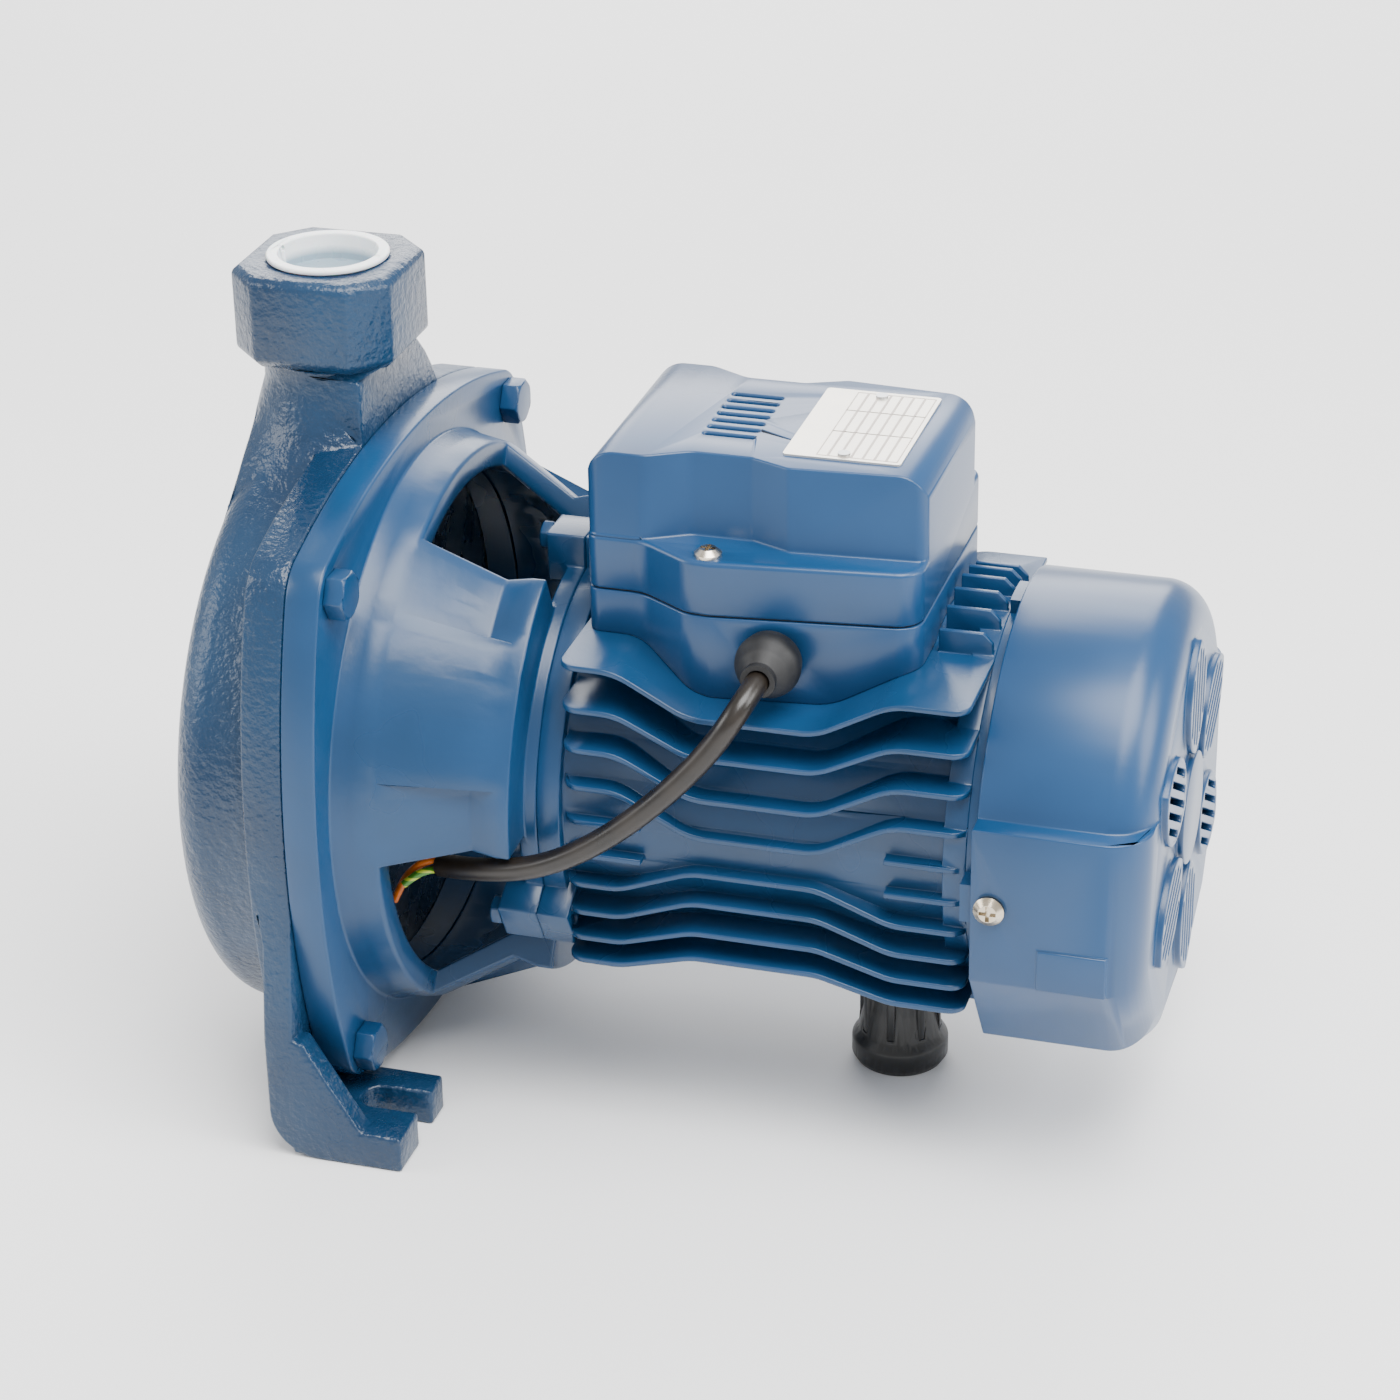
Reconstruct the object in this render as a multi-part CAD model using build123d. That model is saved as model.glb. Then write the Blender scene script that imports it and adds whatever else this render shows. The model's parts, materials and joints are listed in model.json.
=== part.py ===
# Close-coupled centrifugal water pump: cast casing, open motor bracket, finned single-phase
# motor with a terminal box on top, fan and fan cover. Millimetres, +Z up.
# The origin is on the floor under the middle of the pump's length, +X runs along the shaft
# towards the fan and y = 0 is the middle plane.
# Shapes are drawn about the shaft line with x = 0 on the axis of the discharge port, and are
# moved to the origin when they are written.
import os
from math import acos, cos, degrees, pi, radians, sin, sqrt

from build123d import *

os.makedirs("parts", exist_ok=True)

# ---------------------------------------------------------------- driving dimensions
shaft_height = 100.0
joint_clearance = 0.3          # between pieces that move past each other
cast_hole_gap = 0.5            # radial gap of a bolt in a plain hole

# stations along the shaft, built up from lengths
x_joint = 16.0                 # casing meets bracket
casing_depth = 39.0
casing_wall = 7.0
casing_flange = 12.5
suction_boss = 20.0
bracket_flange = 10.5
window_start = 24.0            # from the joint to the front edge of the bracket windows
bracket_length = 64.0
fin_start = 8.0                # from the bracket to the first fins
housing_length = 129.0
cover_gap = 3.5
cover_length = 49.5

x_casing_front = x_joint - casing_depth
x_chamber = x_casing_front + casing_wall
x_suction = x_casing_front - suction_boss
x_bracket_face = x_joint + bracket_flange
x_window = x_joint + window_start
x_motor = x_joint + bracket_length
x_fins = x_motor + fin_start
x_housing_end = x_motor + housing_length
x_cover = x_housing_end + cover_gap
x_cover_rear = x_cover + cover_length

# pump casing
casing_radius = 94.0
casing_round = 12.0
chamber_radius = 84.0
flange_corner = 83.0           # half width of the flange at its corners
flange_middle = 98.5           # half width at the middle of each bowed side
flange_corner_round = 15.0
boss_flats = 50.0              # across flats of both port bosses
boss_flat_half = 14.8
boss_height = 28.4
boss_top = 148.4               # above the shaft
boss_chamfer = 2.0
neck_radius = 21.0
neck_spread = (44.0, 78.0)     # (radius, height) points of the flared root of the neck
neck_foot = (25.0, 99.0)
neck_straight = 112.0          # height where the neck becomes straight
neck_foot_round = 26.0
neck_groove = 2.6              # height of the groove between the shoulder and the boss
shoulder_front = 10.0          # from the front of the shoulder to the joint
# (y, height) points of the wide side of the shoulder, from the top down
shoulder_side = ((24.0, 117.4), (34.0, 107.5), (39.0, 101.0), (46.0, 90.0))
port_minor_radius = 15.15      # G1 thread, bored to its minor diameter
port_thread_length = 18.0
lead_in_radius = 16.9
lead_in_depth = 9.0
waterway_radius = 13.0
eye_radius = 21.0              # impeller eye ring

# feet of the casing
foot_outer = 103.5
foot_inner = 66.0
leg_top_y = 54.0
foot_reach = 48.5              # rear end of the foot pads
foot_pad = 11.5
foot_web = 8.0
foot_web_top = -60.0           # height of the web where it leaves the joint
foot_web_top_x = 19.0
foot_web_low = -88.5
foot_web_rear = 36.0
foot_slot_y = 82.0
foot_slot_width = 11.0
foot_slot_end = 34.0
leg_front = 7.0
leg_round = 15.0

# filler plug above the suction boss, drain plug below it
plug_heights = (72.0, -72.0)
plug_radius = 6.5
plug_flats = 17.0
plug_head = 5.0

# casing bolts M8
casing_bolt_pitch = 75.5       # each bolt's distance from both middle planes
casing_bolt_radius = 4.0
casing_bolt_flats = 13.0
casing_bolt_head = 6.0
casing_bolt_length = 21.0

# backplate, O-ring and mechanical seal
backplate_thickness = 2.5
backplate_radius = 88.0
o_ring_width = 2.5
seal_cup_radius = 15.0
seal_cup_depth = 9.0
seal_seat_radius = 13.0
seal_face_gap = 0.3
seal_head_radius = 12.8
seal_head_length = 5.5
seat_lip = 1.5
seal_wire = 0.8
seal_coil_pitch = 2.4

# motor bracket
bracket_wall = 6.5
dome_radius = 89.0
dome_rim_radius = 86.0
strut_root_radius = 71.5
strut_rim_radius = 73.5
strut_rim = 4.5
strut_rim_slope = 8.0
strut_rim_setback = 4.0        # from the rear face of the rim to the motor joint
strut_panel_half_angle = 17.0
strut_panel_depth = 4.0
window_half_angle = 25.5
web_thickness = 6.0
spigot_length = 4.0
spigot_wall = 4.0
lug_angles = (90, 210, 330)
lug_width = 15.0
lug_radius = 65.5              # bolt circle of the motor bolts
lug_top = 69.5
bracket_lug = 12.3
housing_lug = 9.7
motor_bolt_radius = 2.5
motor_bolt_flats = 8.0
motor_bolt_head = 3.5
motor_bolt_length = 21.5

# shaft and bearings (6203 deep groove: 17 x 40 x 12)
thread_radius = 5.0
wet_radius = 7.0
bearing_bore = 8.5
bearing_outside = 20.0
bearing_width = 12.0
bearing_ball = 3.375
bearing_balls = 8
bearing_ring = 3.4             # radial thickness of each ring
bearing_play = 0.12
bearing_hub_wall = 6.5
front_bearing_setback = 2.0    # from the motor joint
rear_bearing_setback = 1.0     # from the end of the housing
rotor_seat = 10.0
shaft_front = 21.0             # from x = 0 forward
shaft_rear = 246.0

# impeller
impeller_radius = 73.0
impeller_width = 15.5          # front of the front shroud to rear of the back shroud
shroud = 2.5
impeller_rear = 2.5
eye_length = 7.0
hub_radius = 12.0
vane_count = 6
vane_thickness = 2.6
impeller_nut_flats = 17.0
impeller_nut_height = 8.0
key_width = 5.0
key_height = 5.0
key_length = 12.0
key_setback = 1.0

# motor
stator_radius = 52.0
housing_wall = 5.0
core_length = 70.0
core_start = 25.0              # from the bracket
rotor_radius = 29.0
air_gap = 0.4
winding_length = 15.0
winding_radius = 48.0
end_ring = 7.0
fin_outer = 61.0               # side fins end on this half width
fin_thickness = 1.8
fin_dip_start = 17.0           # from the front of the fins to the start of the wave
fin_wave = 22.0                # length of each slope of the wave
fin_dip_end = 77.0
fin_wave_round = 20.0
fin_corner_round = 6.0
fin_corner_chamfer = 5.0
# (height at both ends, height in the middle) of the full fins, from the top down
full_fins = ((53.0, 41.0), (39.4, 28.6), (26.4, 15.0), (14.2, 2.5),
             (-18.0, -9.5), (-27.4, -19.5), (-36.0, -29.5), (-43.8, -38.0))
short_fins = (2.8, -8.0)
short_fin_length = 24.0
top_fin_pitch = 9.6
top_fin_radius = 65.5
top_fin_length = 17.0
top_fin_cut = 3.0              # corner cut of the upright fins
far_fin_end = 47.0             # the highest side fin is shorter on the +Y side
housing_collar = 60.0
wire_hole = 8.0

# rear end shield, fan and fan cover
shield_thickness = 5.0
shield_screw_radius = 2.5
shield_screw_circle = 54.5
fan_radius = 58.0
fan_hub_radius = 13.0
fan_start = 15.0               # from the end of the housing
fan_width = 22.0
fan_blades = 7
cover_radius = 66.5
cover_side = 69.5
cover_step = 22.0
cover_side_bottom = 27.0
cover_wall = 2.0
cover_round = 13.0
cover_screw_x = 5.5            # from the front edge of the cover
cover_screw_z = -3.0
cover_screw_radius = 2.1
grille_relief = 2.0            # how far the grille leaves stand out of the cover
grille_hub_radius = 17.0
leaf_angles = (30, 90, 150, 210, 270, 330)
leaf_root = 18.0               # distances of a leaf's two tips from the shaft line
leaf_tip = 55.0
leaf_half_width = 13.0
leaf_slot_count = 5
leaf_slot_pitch = 4.4
leaf_slot_width = 2.0
leaf_margin = 3.0
ledge_start = 19.5             # small raised pad on each side, from the cover's front edge
ledge_length = 20.0
ledge_low = -27.0
ledge_width = 13.0
ledge_relief = 0.8

# terminal box
box_start = 10.0               # from the bracket to the front end of the box
box_length = 100.0
box_seat = 58.0                # height of the flat the box stands on, above the shaft
box_floor = 2.5
box_wall = 2.6
box_joint = 67.5
gasket_thickness = 0.5
gasket_inset = 1.0
box_shelf = 84.5
box_top = 110.5
box_top_round = 9.0
lid_screw_x = 38.5             # from the front end of the box
lid_screw_y = 42.0
lid_screw_radius = 2.0
post_radius = 4.6
plate_length = 34.5
plate_width = 51.5
plate_thickness = 0.6
plate_start = 73.2             # middle of the plate, from the front end of the box
rivet_edge = 3.5
rivet_radius = 1.2
rivet_head_radius = 1.8
rivet_head = 0.7
vent_start = 29.5              # from the front end of the box
vent_length = 15.5
vent_width = 1.8
vent_pitch = 5.1
vent_count = 7

# plans of the box and of its lid: (distance from the front end, half width), then corner radii
box_plan = ((0.0, 37.0), (17.0, 37.0), (33.0, 47.0), (40.0, 47.5), (100.0, 40.5))
box_plan_rounds = (4.0, 14.0, 12.0, 0.0, 8.0)
lid_plan = ((0.0, 36.0), (18.0, 36.0), (30.0, 29.5), (48.0, 29.5), (60.0, 34.5), (100.0, 31.5))
lid_plan_rounds = (4.0, 8.0, 8.0, 4.0, 4.0, 4.0)
shelf_round = 1.4

# inside the terminal box
wire_hole_x = 32.0             # from the front end of the box
terminal_block_start = 46.0
terminal_block_length = 40.0
terminal_block_width = 18.0
terminal_block_height = 12.0
terminal_start = 53.0
terminal_pitch = 13.0
terminal_middle = -17.0
terminal_row = 4.5
terminal_well = 2.6
terminal_screw_radius = 2.3
capacitor_length = 68.0
capacitor_radius = 16.5
capacitor_start = 12.0
capacitor_y = 8.0
capacitor_lift = 18.5
capacitor_round = 2.5

# power cable
cable_radius = 3.5
core_wire_radius = 1.2
core_straight = 2.5
brown_steps = ((-7.0, 0.8, -1.0), (-11.5, 0.3, -5.5), (-15.7, 0.0, -14.4))
blue_steps = ((-6.0, 5.0, 1.0), (-9.0, 7.5, -3.0))
earth_steps = ((-6.5, -1.6, -2.8), (-11.0, -3.2, -6.4))
gland_x = 58.5                 # from the front end of the box
gland_z = 56.5
gland_radius = 10.0
gland_out = 15.0
gland_neck_radius = 7.0
gland_wall_y = -47.0           # outer face of the box wall at the gland
gland_lip = 1.6                # thickness of the rubber at the cable
# the cable's middle line, from inside the gland to its bare end in the bracket window
cable_points = [(148.5, -52.0, 56.5), (148.5, -72.5, 56.5), (136.0, -75.5, 36.0), (113.0, -75.5, 12.0),
                (90.0, -73.0, -5.0), (68.0, -69.0, -13.0), (50.0, -62.0, -17.0)]
bend_share = 0.45              # of the shorter run that a bend may take up

# shipping plug of the discharge port
plug_depth = 7.8
plug_floor = 1.4
plug_wall = 1.8
plug_rim_radius = 18.3
plug_rim_height = 1.3
plug_rib = 1.2
plug_rib_width = 1.0

# support foot
support_x = 176.0
support_radius = 15.0
support_neck = 10.5
support_seat = 66.0            # below the shaft
support_skirt = 11.0           # height of the wide skirt
support_ribs = 8
foot_screw_radius = 3.0
foot_screw_head = 22.0         # height of the screw's head above the floor

# places worked out from the dimensions above
x_backplate = x_joint - backplate_thickness
seat_front = x_backplate + seat_lip
seat_rear = x_backplate + seal_cup_depth
x_front_bearing = x_motor - front_bearing_setback - bearing_width
x_rear_bearing = x_housing_end - bearing_width - rear_bearing_setback
bearing_pitch = (bearing_bore + bearing_outside) / 2
bearing_places = (x_front_bearing, x_rear_bearing)
core_x = x_motor + core_start
core_end = core_x + core_length
impeller_front = impeller_rear - impeller_width
key_end = impeller_rear - key_setback
x_box = x_motor + box_start
x_vents = x_box + vent_start
x_plate = x_box + plate_start
capacitor_z = box_seat + box_floor + capacitor_lift
bolt_places = [(sy * casing_bolt_pitch, sz * casing_bolt_pitch) for sy in (-1, 1) for sz in (-1, 1)]
top_fin_places = [(i + 0.5) * top_fin_pitch for i in range(-3, 3)]
lid_screw_places = [(x_box + lid_screw_x, side * lid_screw_y) for side in (-1, 1)]
rivet_places = (rivet_edge - plate_width / 2, plate_width / 2 - rivet_edge)
terminal_places = [(x_box + terminal_start + terminal_pitch * i, terminal_middle + terminal_row * side)
                   for i in range(3) for side in (-1, 1)]


# ---------------------------------------------------------------- shape helpers
def outline(points, rounds=None):
    """Closed sketch through points; rounds maps a corner's index to its radius."""
    face = make_face(Polyline(*points, close=True))
    for index, radius in (rounds or {}).items():
        corner = face.vertices().sort_by_distance(Vector(*points[index]))[0]
        face = fillet(corner, radius)
    return face


def turned(points, rounds=None, angle=360):
    """Solid turned about the shaft line from (x, radius) points."""
    return revolve(outline(points, rounds), Axis.X, angle)


def turned_up(points, rounds=None):
    """Solid turned about the Z axis from (radius, z) points."""
    return revolve(Plane.XZ * outline(points, rounds), Axis.Z)


def across(x):
    """Plane square to the shaft: its own x is +Y and its own y is +Z."""
    return Plane(origin=(x, 0, 0), x_dir=(0, 1, 0), z_dir=(1, 0, 0))


def plate(sketch, x_start, x_end):
    """A sketch drawn in (y, z), made solid from x_start to x_end."""
    return extrude(across(x_start) * sketch, amount=x_end - x_start)


def wall_along_y(sketch, y_start, y_end):
    """A sketch drawn in (x, z), made solid from y_start to y_end."""
    plane = Plane(origin=(0, y_start, 0), x_dir=(1, 0, 0), z_dir=(0, -1, 0))
    return extrude(plane * sketch, amount=y_start - y_end)


def upright(sketch, z_start, z_end):
    """A sketch drawn in (x, y), made solid from z_start to z_end."""
    return extrude(Plane.XY.offset(z_start) * sketch, amount=z_end - z_start)


def rod(radius, x_start, x_end, y=0, z=0):
    """Round bar along the shaft direction."""
    return plate(Pos(y, z) * Circle(radius), x_start, x_end)


def ring(outer, inner, x_start, x_end):
    """Plain ring about the shaft line."""
    return rod(outer, x_start, x_end) - rod(inner, x_start, x_end)


def block(x0, x1, y0, y1, z0, z1):
    """Box between two corners."""
    centre = Pos((x0 + x1) / 2, (y0 + y1) / 2, (z0 + z1) / 2)
    return centre * Box(abs(x1 - x0), abs(y1 - y0), abs(z1 - z0))


def about_shaft(shape, angles):
    """Copies of a shape turned about the shaft line; angle 0 leaves it in place."""
    return [Rot(X=angle) * shape for angle in angles]


def joined(shapes):
    """One solid from shapes that touch."""
    total = shapes[0]
    for shape in shapes[1:]:
        total = total + shape
    return total


def group(shapes):
    """Separate solids kept together as one node."""
    solids = []
    for shape in shapes:
        solids.extend(shape.solids())
    return Compound(solids)


def bevelled_hex(flats, height):
    """Hexagon head on x = 0, its outer corners turned off."""
    corner = flats / 2 / cos(pi / 6)
    hexagon = plate(RegularPolygon(flats / 2, 6, major_radius=False), 0, height)
    bevel = (corner - flats / 2) * 0.9
    envelope = turned([(0, 0), (0, corner), (height - bevel, corner), (height, corner - 1.4 * bevel),
                       (height, 0)])
    return hexagon & envelope


def hex_bolt(flats, head, radius, length):
    """Bolt whose head stands on x = 0 towards +X; the shank runs towards -X."""
    return bevelled_hex(flats, head) + rod(radius, -length, 0)


def pan_screw(head_radius, head, radius, length):
    """Cross-recess pan screw along Z: the head stands on z = 0, the shank runs down."""
    dome = turned_up([(0, 0), (head_radius, 0), (head_radius, head * 0.4), (head_radius * 0.6, head),
                      (0, head)])
    slot_length = head_radius * 1.1
    slot_width = head_radius * 0.26
    slot = block(-slot_length / 2, slot_length / 2, -slot_width / 2, slot_width / 2, head * 0.45, head + 1)
    shank = upright(Circle(radius), -length, 0)
    return dome + shank - slot - Rot(Z=90) * slot


# ---------------------------------------------------------------- shared outlines
def flange_sketch(gap=0.0):
    """Square with bowed sides and rounded corners, shared by casing and bracket."""
    corner = flange_corner + gap
    middle = flange_middle + gap
    corners = [(-corner, -corner), (corner, -corner), (corner, corner), (-corner, corner)]
    middles = [(0, -middle), (middle, 0), (0, middle), (-middle, 0)]
    sides = [ThreePointArc(corners[i], middles[i], corners[(i + 1) % 4]) for i in range(4)]
    return fillet(make_face(sides).vertices(), flange_corner_round)


def boss_sketch():
    """Square with its corners cut off, the outline of a port boss."""
    h = boss_flats / 2
    f = boss_flat_half
    return outline([(-f, -h), (f, -h), (h, -f), (h, f), (f, h), (-f, h), (-h, f), (-h, -f)])


# ---------------------------------------------------------------- pump end
def foot(side):
    """One leg of the casing with its slotted pad, side being -1 or 1."""
    floor = -shaft_height
    leg_front_view = outline([(leg_top_y, -20), (flange_middle - 1.5, -10), (foot_outer, -60),
                              (foot_outer, floor), (foot_inner, floor), (foot_inner, -80)])
    leg_side_view = outline([(x_joint - casing_flange, -5), (leg_front, -30), (leg_front, floor),
                             (foot_reach, floor), (foot_reach, floor + foot_pad), (x_joint, floor + foot_pad),
                             (x_joint, -5)], {2: leg_round})
    leg = plate(leg_front_view, leg_front - 5, foot_reach) & wall_along_y(leg_side_view, 0, foot_outer + 5)
    web_view = outline([(x_joint - 2, foot_web_top), (foot_web_top_x, foot_web_top),
                        (foot_web_rear, foot_web_low),
                        (foot_web_rear, floor + 1), (x_joint - 2, floor + 1)])
    web = wall_along_y(web_view, foot_outer - foot_web, foot_outer)
    slot = block(foot_slot_end, foot_reach + 5, foot_slot_y - foot_slot_width / 2,
                 foot_slot_y + foot_slot_width / 2, floor - 1, floor + 30)
    slot_end = Pos(foot_slot_end, foot_slot_y, floor) * Cylinder(foot_slot_width / 2, 60)
    whole = leg + web - slot - slot_end
    whole = whole - plate(flange_sketch(1.0), x_joint, x_bracket_face + 1)
    return whole if side > 0 else mirror(whole, Plane.XZ)


def pump_casing():
    """Volute body, flange, discharge neck and boss, suction boss and feet in one casting."""
    body = turned([(x_casing_front, 0), (x_casing_front, casing_radius), (x_joint, casing_radius),
                   (x_joint, 0)],
                  {1: casing_round})
    flange = plate(flange_sketch(), x_joint - casing_flange, x_joint)
    neck_top = boss_top - boss_height
    neck = turned_up([(0, 60), neck_spread, neck_foot, (neck_radius, neck_straight),
                      (neck_radius, neck_top + 2),
                      (0, neck_top + 2)], {2: neck_foot_round})
    neck = neck & block(x_casing_front + 1, x_joint, -80, 80, 50, boss_top)
    neck = neck + block(0, x_joint, -neck_radius, neck_radius, 70, neck_top - neck_groove)
    shoulder = outline([(0, shoulder_side[-1][1]), (0, neck_top - neck_groove), *shoulder_side], {2: 4})
    neck = neck + plate(shoulder, x_joint - shoulder_front, x_joint)
    boss = upright(boss_sketch(), neck_top, boss_top)
    boss = chamfer(boss.edges().group_by(Axis.Z)[-1], boss_chamfer)
    boss = chamfer(boss.edges().group_by(Axis.Z)[0], boss_chamfer * 1.6)
    suction = plate(boss_sketch(), x_suction, x_casing_front + 2)
    suction = chamfer(suction.edges().group_by(Axis.X)[0], boss_chamfer)
    casing = body + flange + neck + boss + suction + foot(1) + foot(-1)

    chamber = rod(chamber_radius, x_chamber, x_joint)
    shelf = rod(backplate_radius + 0.2, x_joint - backplate_thickness - o_ring_width, x_joint)
    thread_end = boss_top - lead_in_depth - port_thread_length
    outlet = turned_up([(0, 40), (waterway_radius, 40), (waterway_radius, thread_end - 3),
                        (port_minor_radius, thread_end), (port_minor_radius, boss_top - lead_in_depth),
                        (lead_in_radius, boss_top - lead_in_depth), (lead_in_radius, boss_top + 1),
                        (0, boss_top + 1)])
    shelf_front = x_joint - backplate_thickness - o_ring_width - 0.5
    outlet = outlet - block(shelf_front, x_joint + 20, -30, 30, 30, backplate_radius + 4)
    inlet_end = x_suction + port_thread_length
    eye = eye_radius + joint_clearance
    inlet = turned([(x_suction - 1, 0), (x_suction - 1, port_minor_radius), (inlet_end, port_minor_radius),
                    (inlet_end + 2, waterway_radius + 4), (x_casing_front - 0.5, waterway_radius + 4),
                    (x_casing_front - 0.5, eye), (x_chamber + 1, eye), (x_chamber + 1, 0)])
    casing = casing - chamber - shelf - outlet - inlet
    for y, z in bolt_places:
        casing = casing - rod(casing_bolt_radius, x_bracket_face - casing_bolt_length, x_joint, y, z)
    for z in plug_heights:
        casing = casing - rod(plug_radius, x_casing_front - 1, x_chamber + 1, 0, z)
    return casing


def casing_plug(z):
    """Hexagon plug screwed into the front wall of the casing."""
    head = Pos(x_casing_front, 0, z) * Rot(Y=180) * bevelled_hex(plug_flats, plug_head)
    return head + rod(plug_radius, x_casing_front, x_chamber - 1, 0, z)


def casing_bolts():
    bolt = hex_bolt(casing_bolt_flats, casing_bolt_head, casing_bolt_radius, casing_bolt_length)
    return group([Pos(x_bracket_face, y, z) * bolt for y, z in bolt_places])


def backplate():
    """Stainless disc that closes the chamber, with a cup for the seal seat."""
    wall = 1.5
    cup_end = x_backplate + seal_cup_depth
    return turned([(x_backplate, seal_cup_radius), (x_backplate, backplate_radius),
                   (x_joint, backplate_radius),
                   (x_joint, seal_cup_radius + wall), (cup_end + wall, seal_cup_radius + wall),
                   (cup_end + wall, wet_radius + 2), (cup_end, wet_radius + 2), (cup_end, seal_cup_radius)])


def casing_o_ring():
    x_start = x_backplate - o_ring_width
    return ring(backplate_radius, backplate_radius - 3, x_start, x_backplate)


def seal_seat():
    return ring(seal_seat_radius, wet_radius + 0.6, seat_front, seat_rear)


def seal_seat_gasket():
    return ring(seal_cup_radius, seal_seat_radius, seat_front + 1, seat_rear)


def seal_head():
    """Rotating half of the mechanical seal: carbon face in a metal shell."""
    face = seat_front - seal_face_gap
    return turned([(face - seal_head_length, wet_radius), (face - seal_head_length, seal_head_radius),
                   (face - 2, seal_head_radius), (face - 2, seal_head_radius - 1.5),
                   (face, seal_head_radius - 1.5),
                   (face, wet_radius)])


def seal_spring():
    """Conical seal spring between the impeller hub and the seal head."""
    start = impeller_rear + 1.4
    end = seat_front - seal_face_gap - seal_head_length - 0.8
    coil = Helix(pitch=seal_coil_pitch, height=end - start, radius=hub_radius - 1.5)
    wire_start = Plane(origin=coil @ 0, z_dir=coil % 0)
    spring = sweep(wire_start * Circle(seal_wire), path=coil)
    return Pos(start, 0, 0) * Rot(Y=90) * spring


# ---------------------------------------------------------------- motor bracket
def sector(x_start, x_end, inner, outer, middle, half_angle):
    """Part of a ring about the shaft, centred on an angle measured from +Y towards +Z."""
    piece = turned([(x_start, inner), (x_start, outer), (x_end, outer), (x_end, inner)], angle=2 * half_angle)
    return Rot(X=middle - half_angle) * piece


def lug(x_start, x_end, bottom):
    """Bolt lug standing out from the motor at +Y, turned to its place afterwards."""
    return block(x_start, x_end, bottom, lug_top, -lug_width / 2, lug_width / 2)


def motor_bracket():
    """Flange, three wide struts, bearing web with hub, spigot and three bolt lugs."""
    flange = plate(flange_sketch(), x_joint, x_bracket_face)
    x_rim_rear = x_motor - strut_rim_setback
    x_rim = x_rim_rear - strut_rim
    x_root = x_rim - strut_rim_slope
    shell = turned([(x_joint, dome_radius - bracket_wall - 3), (x_joint, dome_radius - 2),
                    (x_bracket_face, dome_radius),
                    (x_window - 1.5, dome_rim_radius + 0.8), (x_window, dome_rim_radius),
                    (x_root, strut_root_radius), (x_rim, strut_rim_radius), (x_rim_rear, strut_rim_radius),
                    (x_rim_rear, housing_collar - 4), (x_root, strut_root_radius - bracket_wall - 2),
                    (x_window, dome_rim_radius - bracket_wall - 1)])
    panel = turned([(x_window, dome_rim_radius - strut_panel_depth), (x_window, dome_rim_radius),
                    (x_rim, strut_rim_radius), (x_rim, strut_root_radius - strut_panel_depth)],
                   angle=2 * strut_panel_half_angle)
    panels = [Rot(X=angle + 60 - strut_panel_half_angle) * panel for angle in lug_angles]
    bracket = joined([flange, shell] + panels)
    bracket = bracket - rod(dome_radius - bracket_wall - 3, x_joint - 1, x_bracket_face)
    for angle in lug_angles:
        bracket = bracket - sector(x_window, x_motor + 1, housing_collar - 3, dome_radius + 20, angle,
                                   window_half_angle)

    web = rod(housing_collar, x_motor - web_thickness, x_motor)
    hub = rod(bearing_outside + bearing_hub_wall, x_front_bearing - 3, x_motor)
    spigot = ring(stator_radius, stator_radius - spigot_wall, x_motor, x_motor + spigot_length)
    lugs = about_shaft(lug(x_motor - bracket_lug, x_motor, housing_collar - 6), lug_angles)
    bracket = joined([bracket, web, hub, spigot] + lugs)
    bracket = bracket - rod(bearing_outside, x_front_bearing, x_motor + 1)
    bracket = bracket - rod(bearing_bore + 2.5, x_front_bearing - 5, x_motor)
    for y, z in bolt_places:
        bracket = bracket - rod(casing_bolt_radius + cast_hole_gap, x_joint - 1, x_bracket_face + 1, y, z)
    hole = rod(motor_bolt_radius + cast_hole_gap, x_motor - bracket_lug - 1, x_motor + 1, lug_radius, 0)
    for angle in lug_angles:
        bracket = bracket - Rot(X=angle) * hole
    return bracket


def motor_bolts():
    bolt = Rot(Z=180) * hex_bolt(motor_bolt_flats, motor_bolt_head, motor_bolt_radius, motor_bolt_length)
    bolt = Pos(x_motor - bracket_lug, lug_radius, 0) * bolt
    return group(about_shaft(bolt, lug_angles))


# ---------------------------------------------------------------- bearings
def raceway(x_start):
    """Groove for the balls of one bearing."""
    middle = x_start + bearing_width / 2
    return Pos(middle, 0, 0) * Rot(Y=90) * Torus(bearing_pitch, bearing_ball + bearing_play)


def bearing_outer_rings():
    inner = bearing_outside - bearing_ring
    rings = [ring(bearing_outside, inner, x, x + bearing_width) - raceway(x) for x in bearing_places]
    return group(rings)


def bearing_inner_rings():
    outer = bearing_bore + bearing_ring
    rings = [ring(outer, bearing_bore, x, x + bearing_width) - raceway(x) for x in bearing_places]
    return group(rings)


def ball_at(x_start, index, radius):
    middle = x_start + bearing_width / 2
    return Rot(X=index * 360 / bearing_balls) * Pos(middle, bearing_pitch, 0) * Sphere(radius)


def bearing_ball_sets():
    return group([ball_at(x, i, bearing_ball) for x in bearing_places for i in range(bearing_balls)])


def bearing_cages():
    """Cage ring between the bearing rings, with a round pocket for each ball."""
    half = bearing_ball + 0.9
    cages = []
    for x in bearing_places:
        middle = x + bearing_width / 2
        cage = ring(bearing_pitch + 0.8, bearing_pitch - 0.8, middle - half, middle + half)
        for i in range(bearing_balls):
            cage = cage - ball_at(x, i, bearing_ball + 0.03)
        cages.append(cage)
    return group(cages)


def wave_washer():
    """Preload washer behind the rear bearing."""
    x_start = x_rear_bearing + bearing_width
    return ring(bearing_outside - 0.5, bearing_outside - 4.5, x_start, x_start + 1.0)


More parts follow.
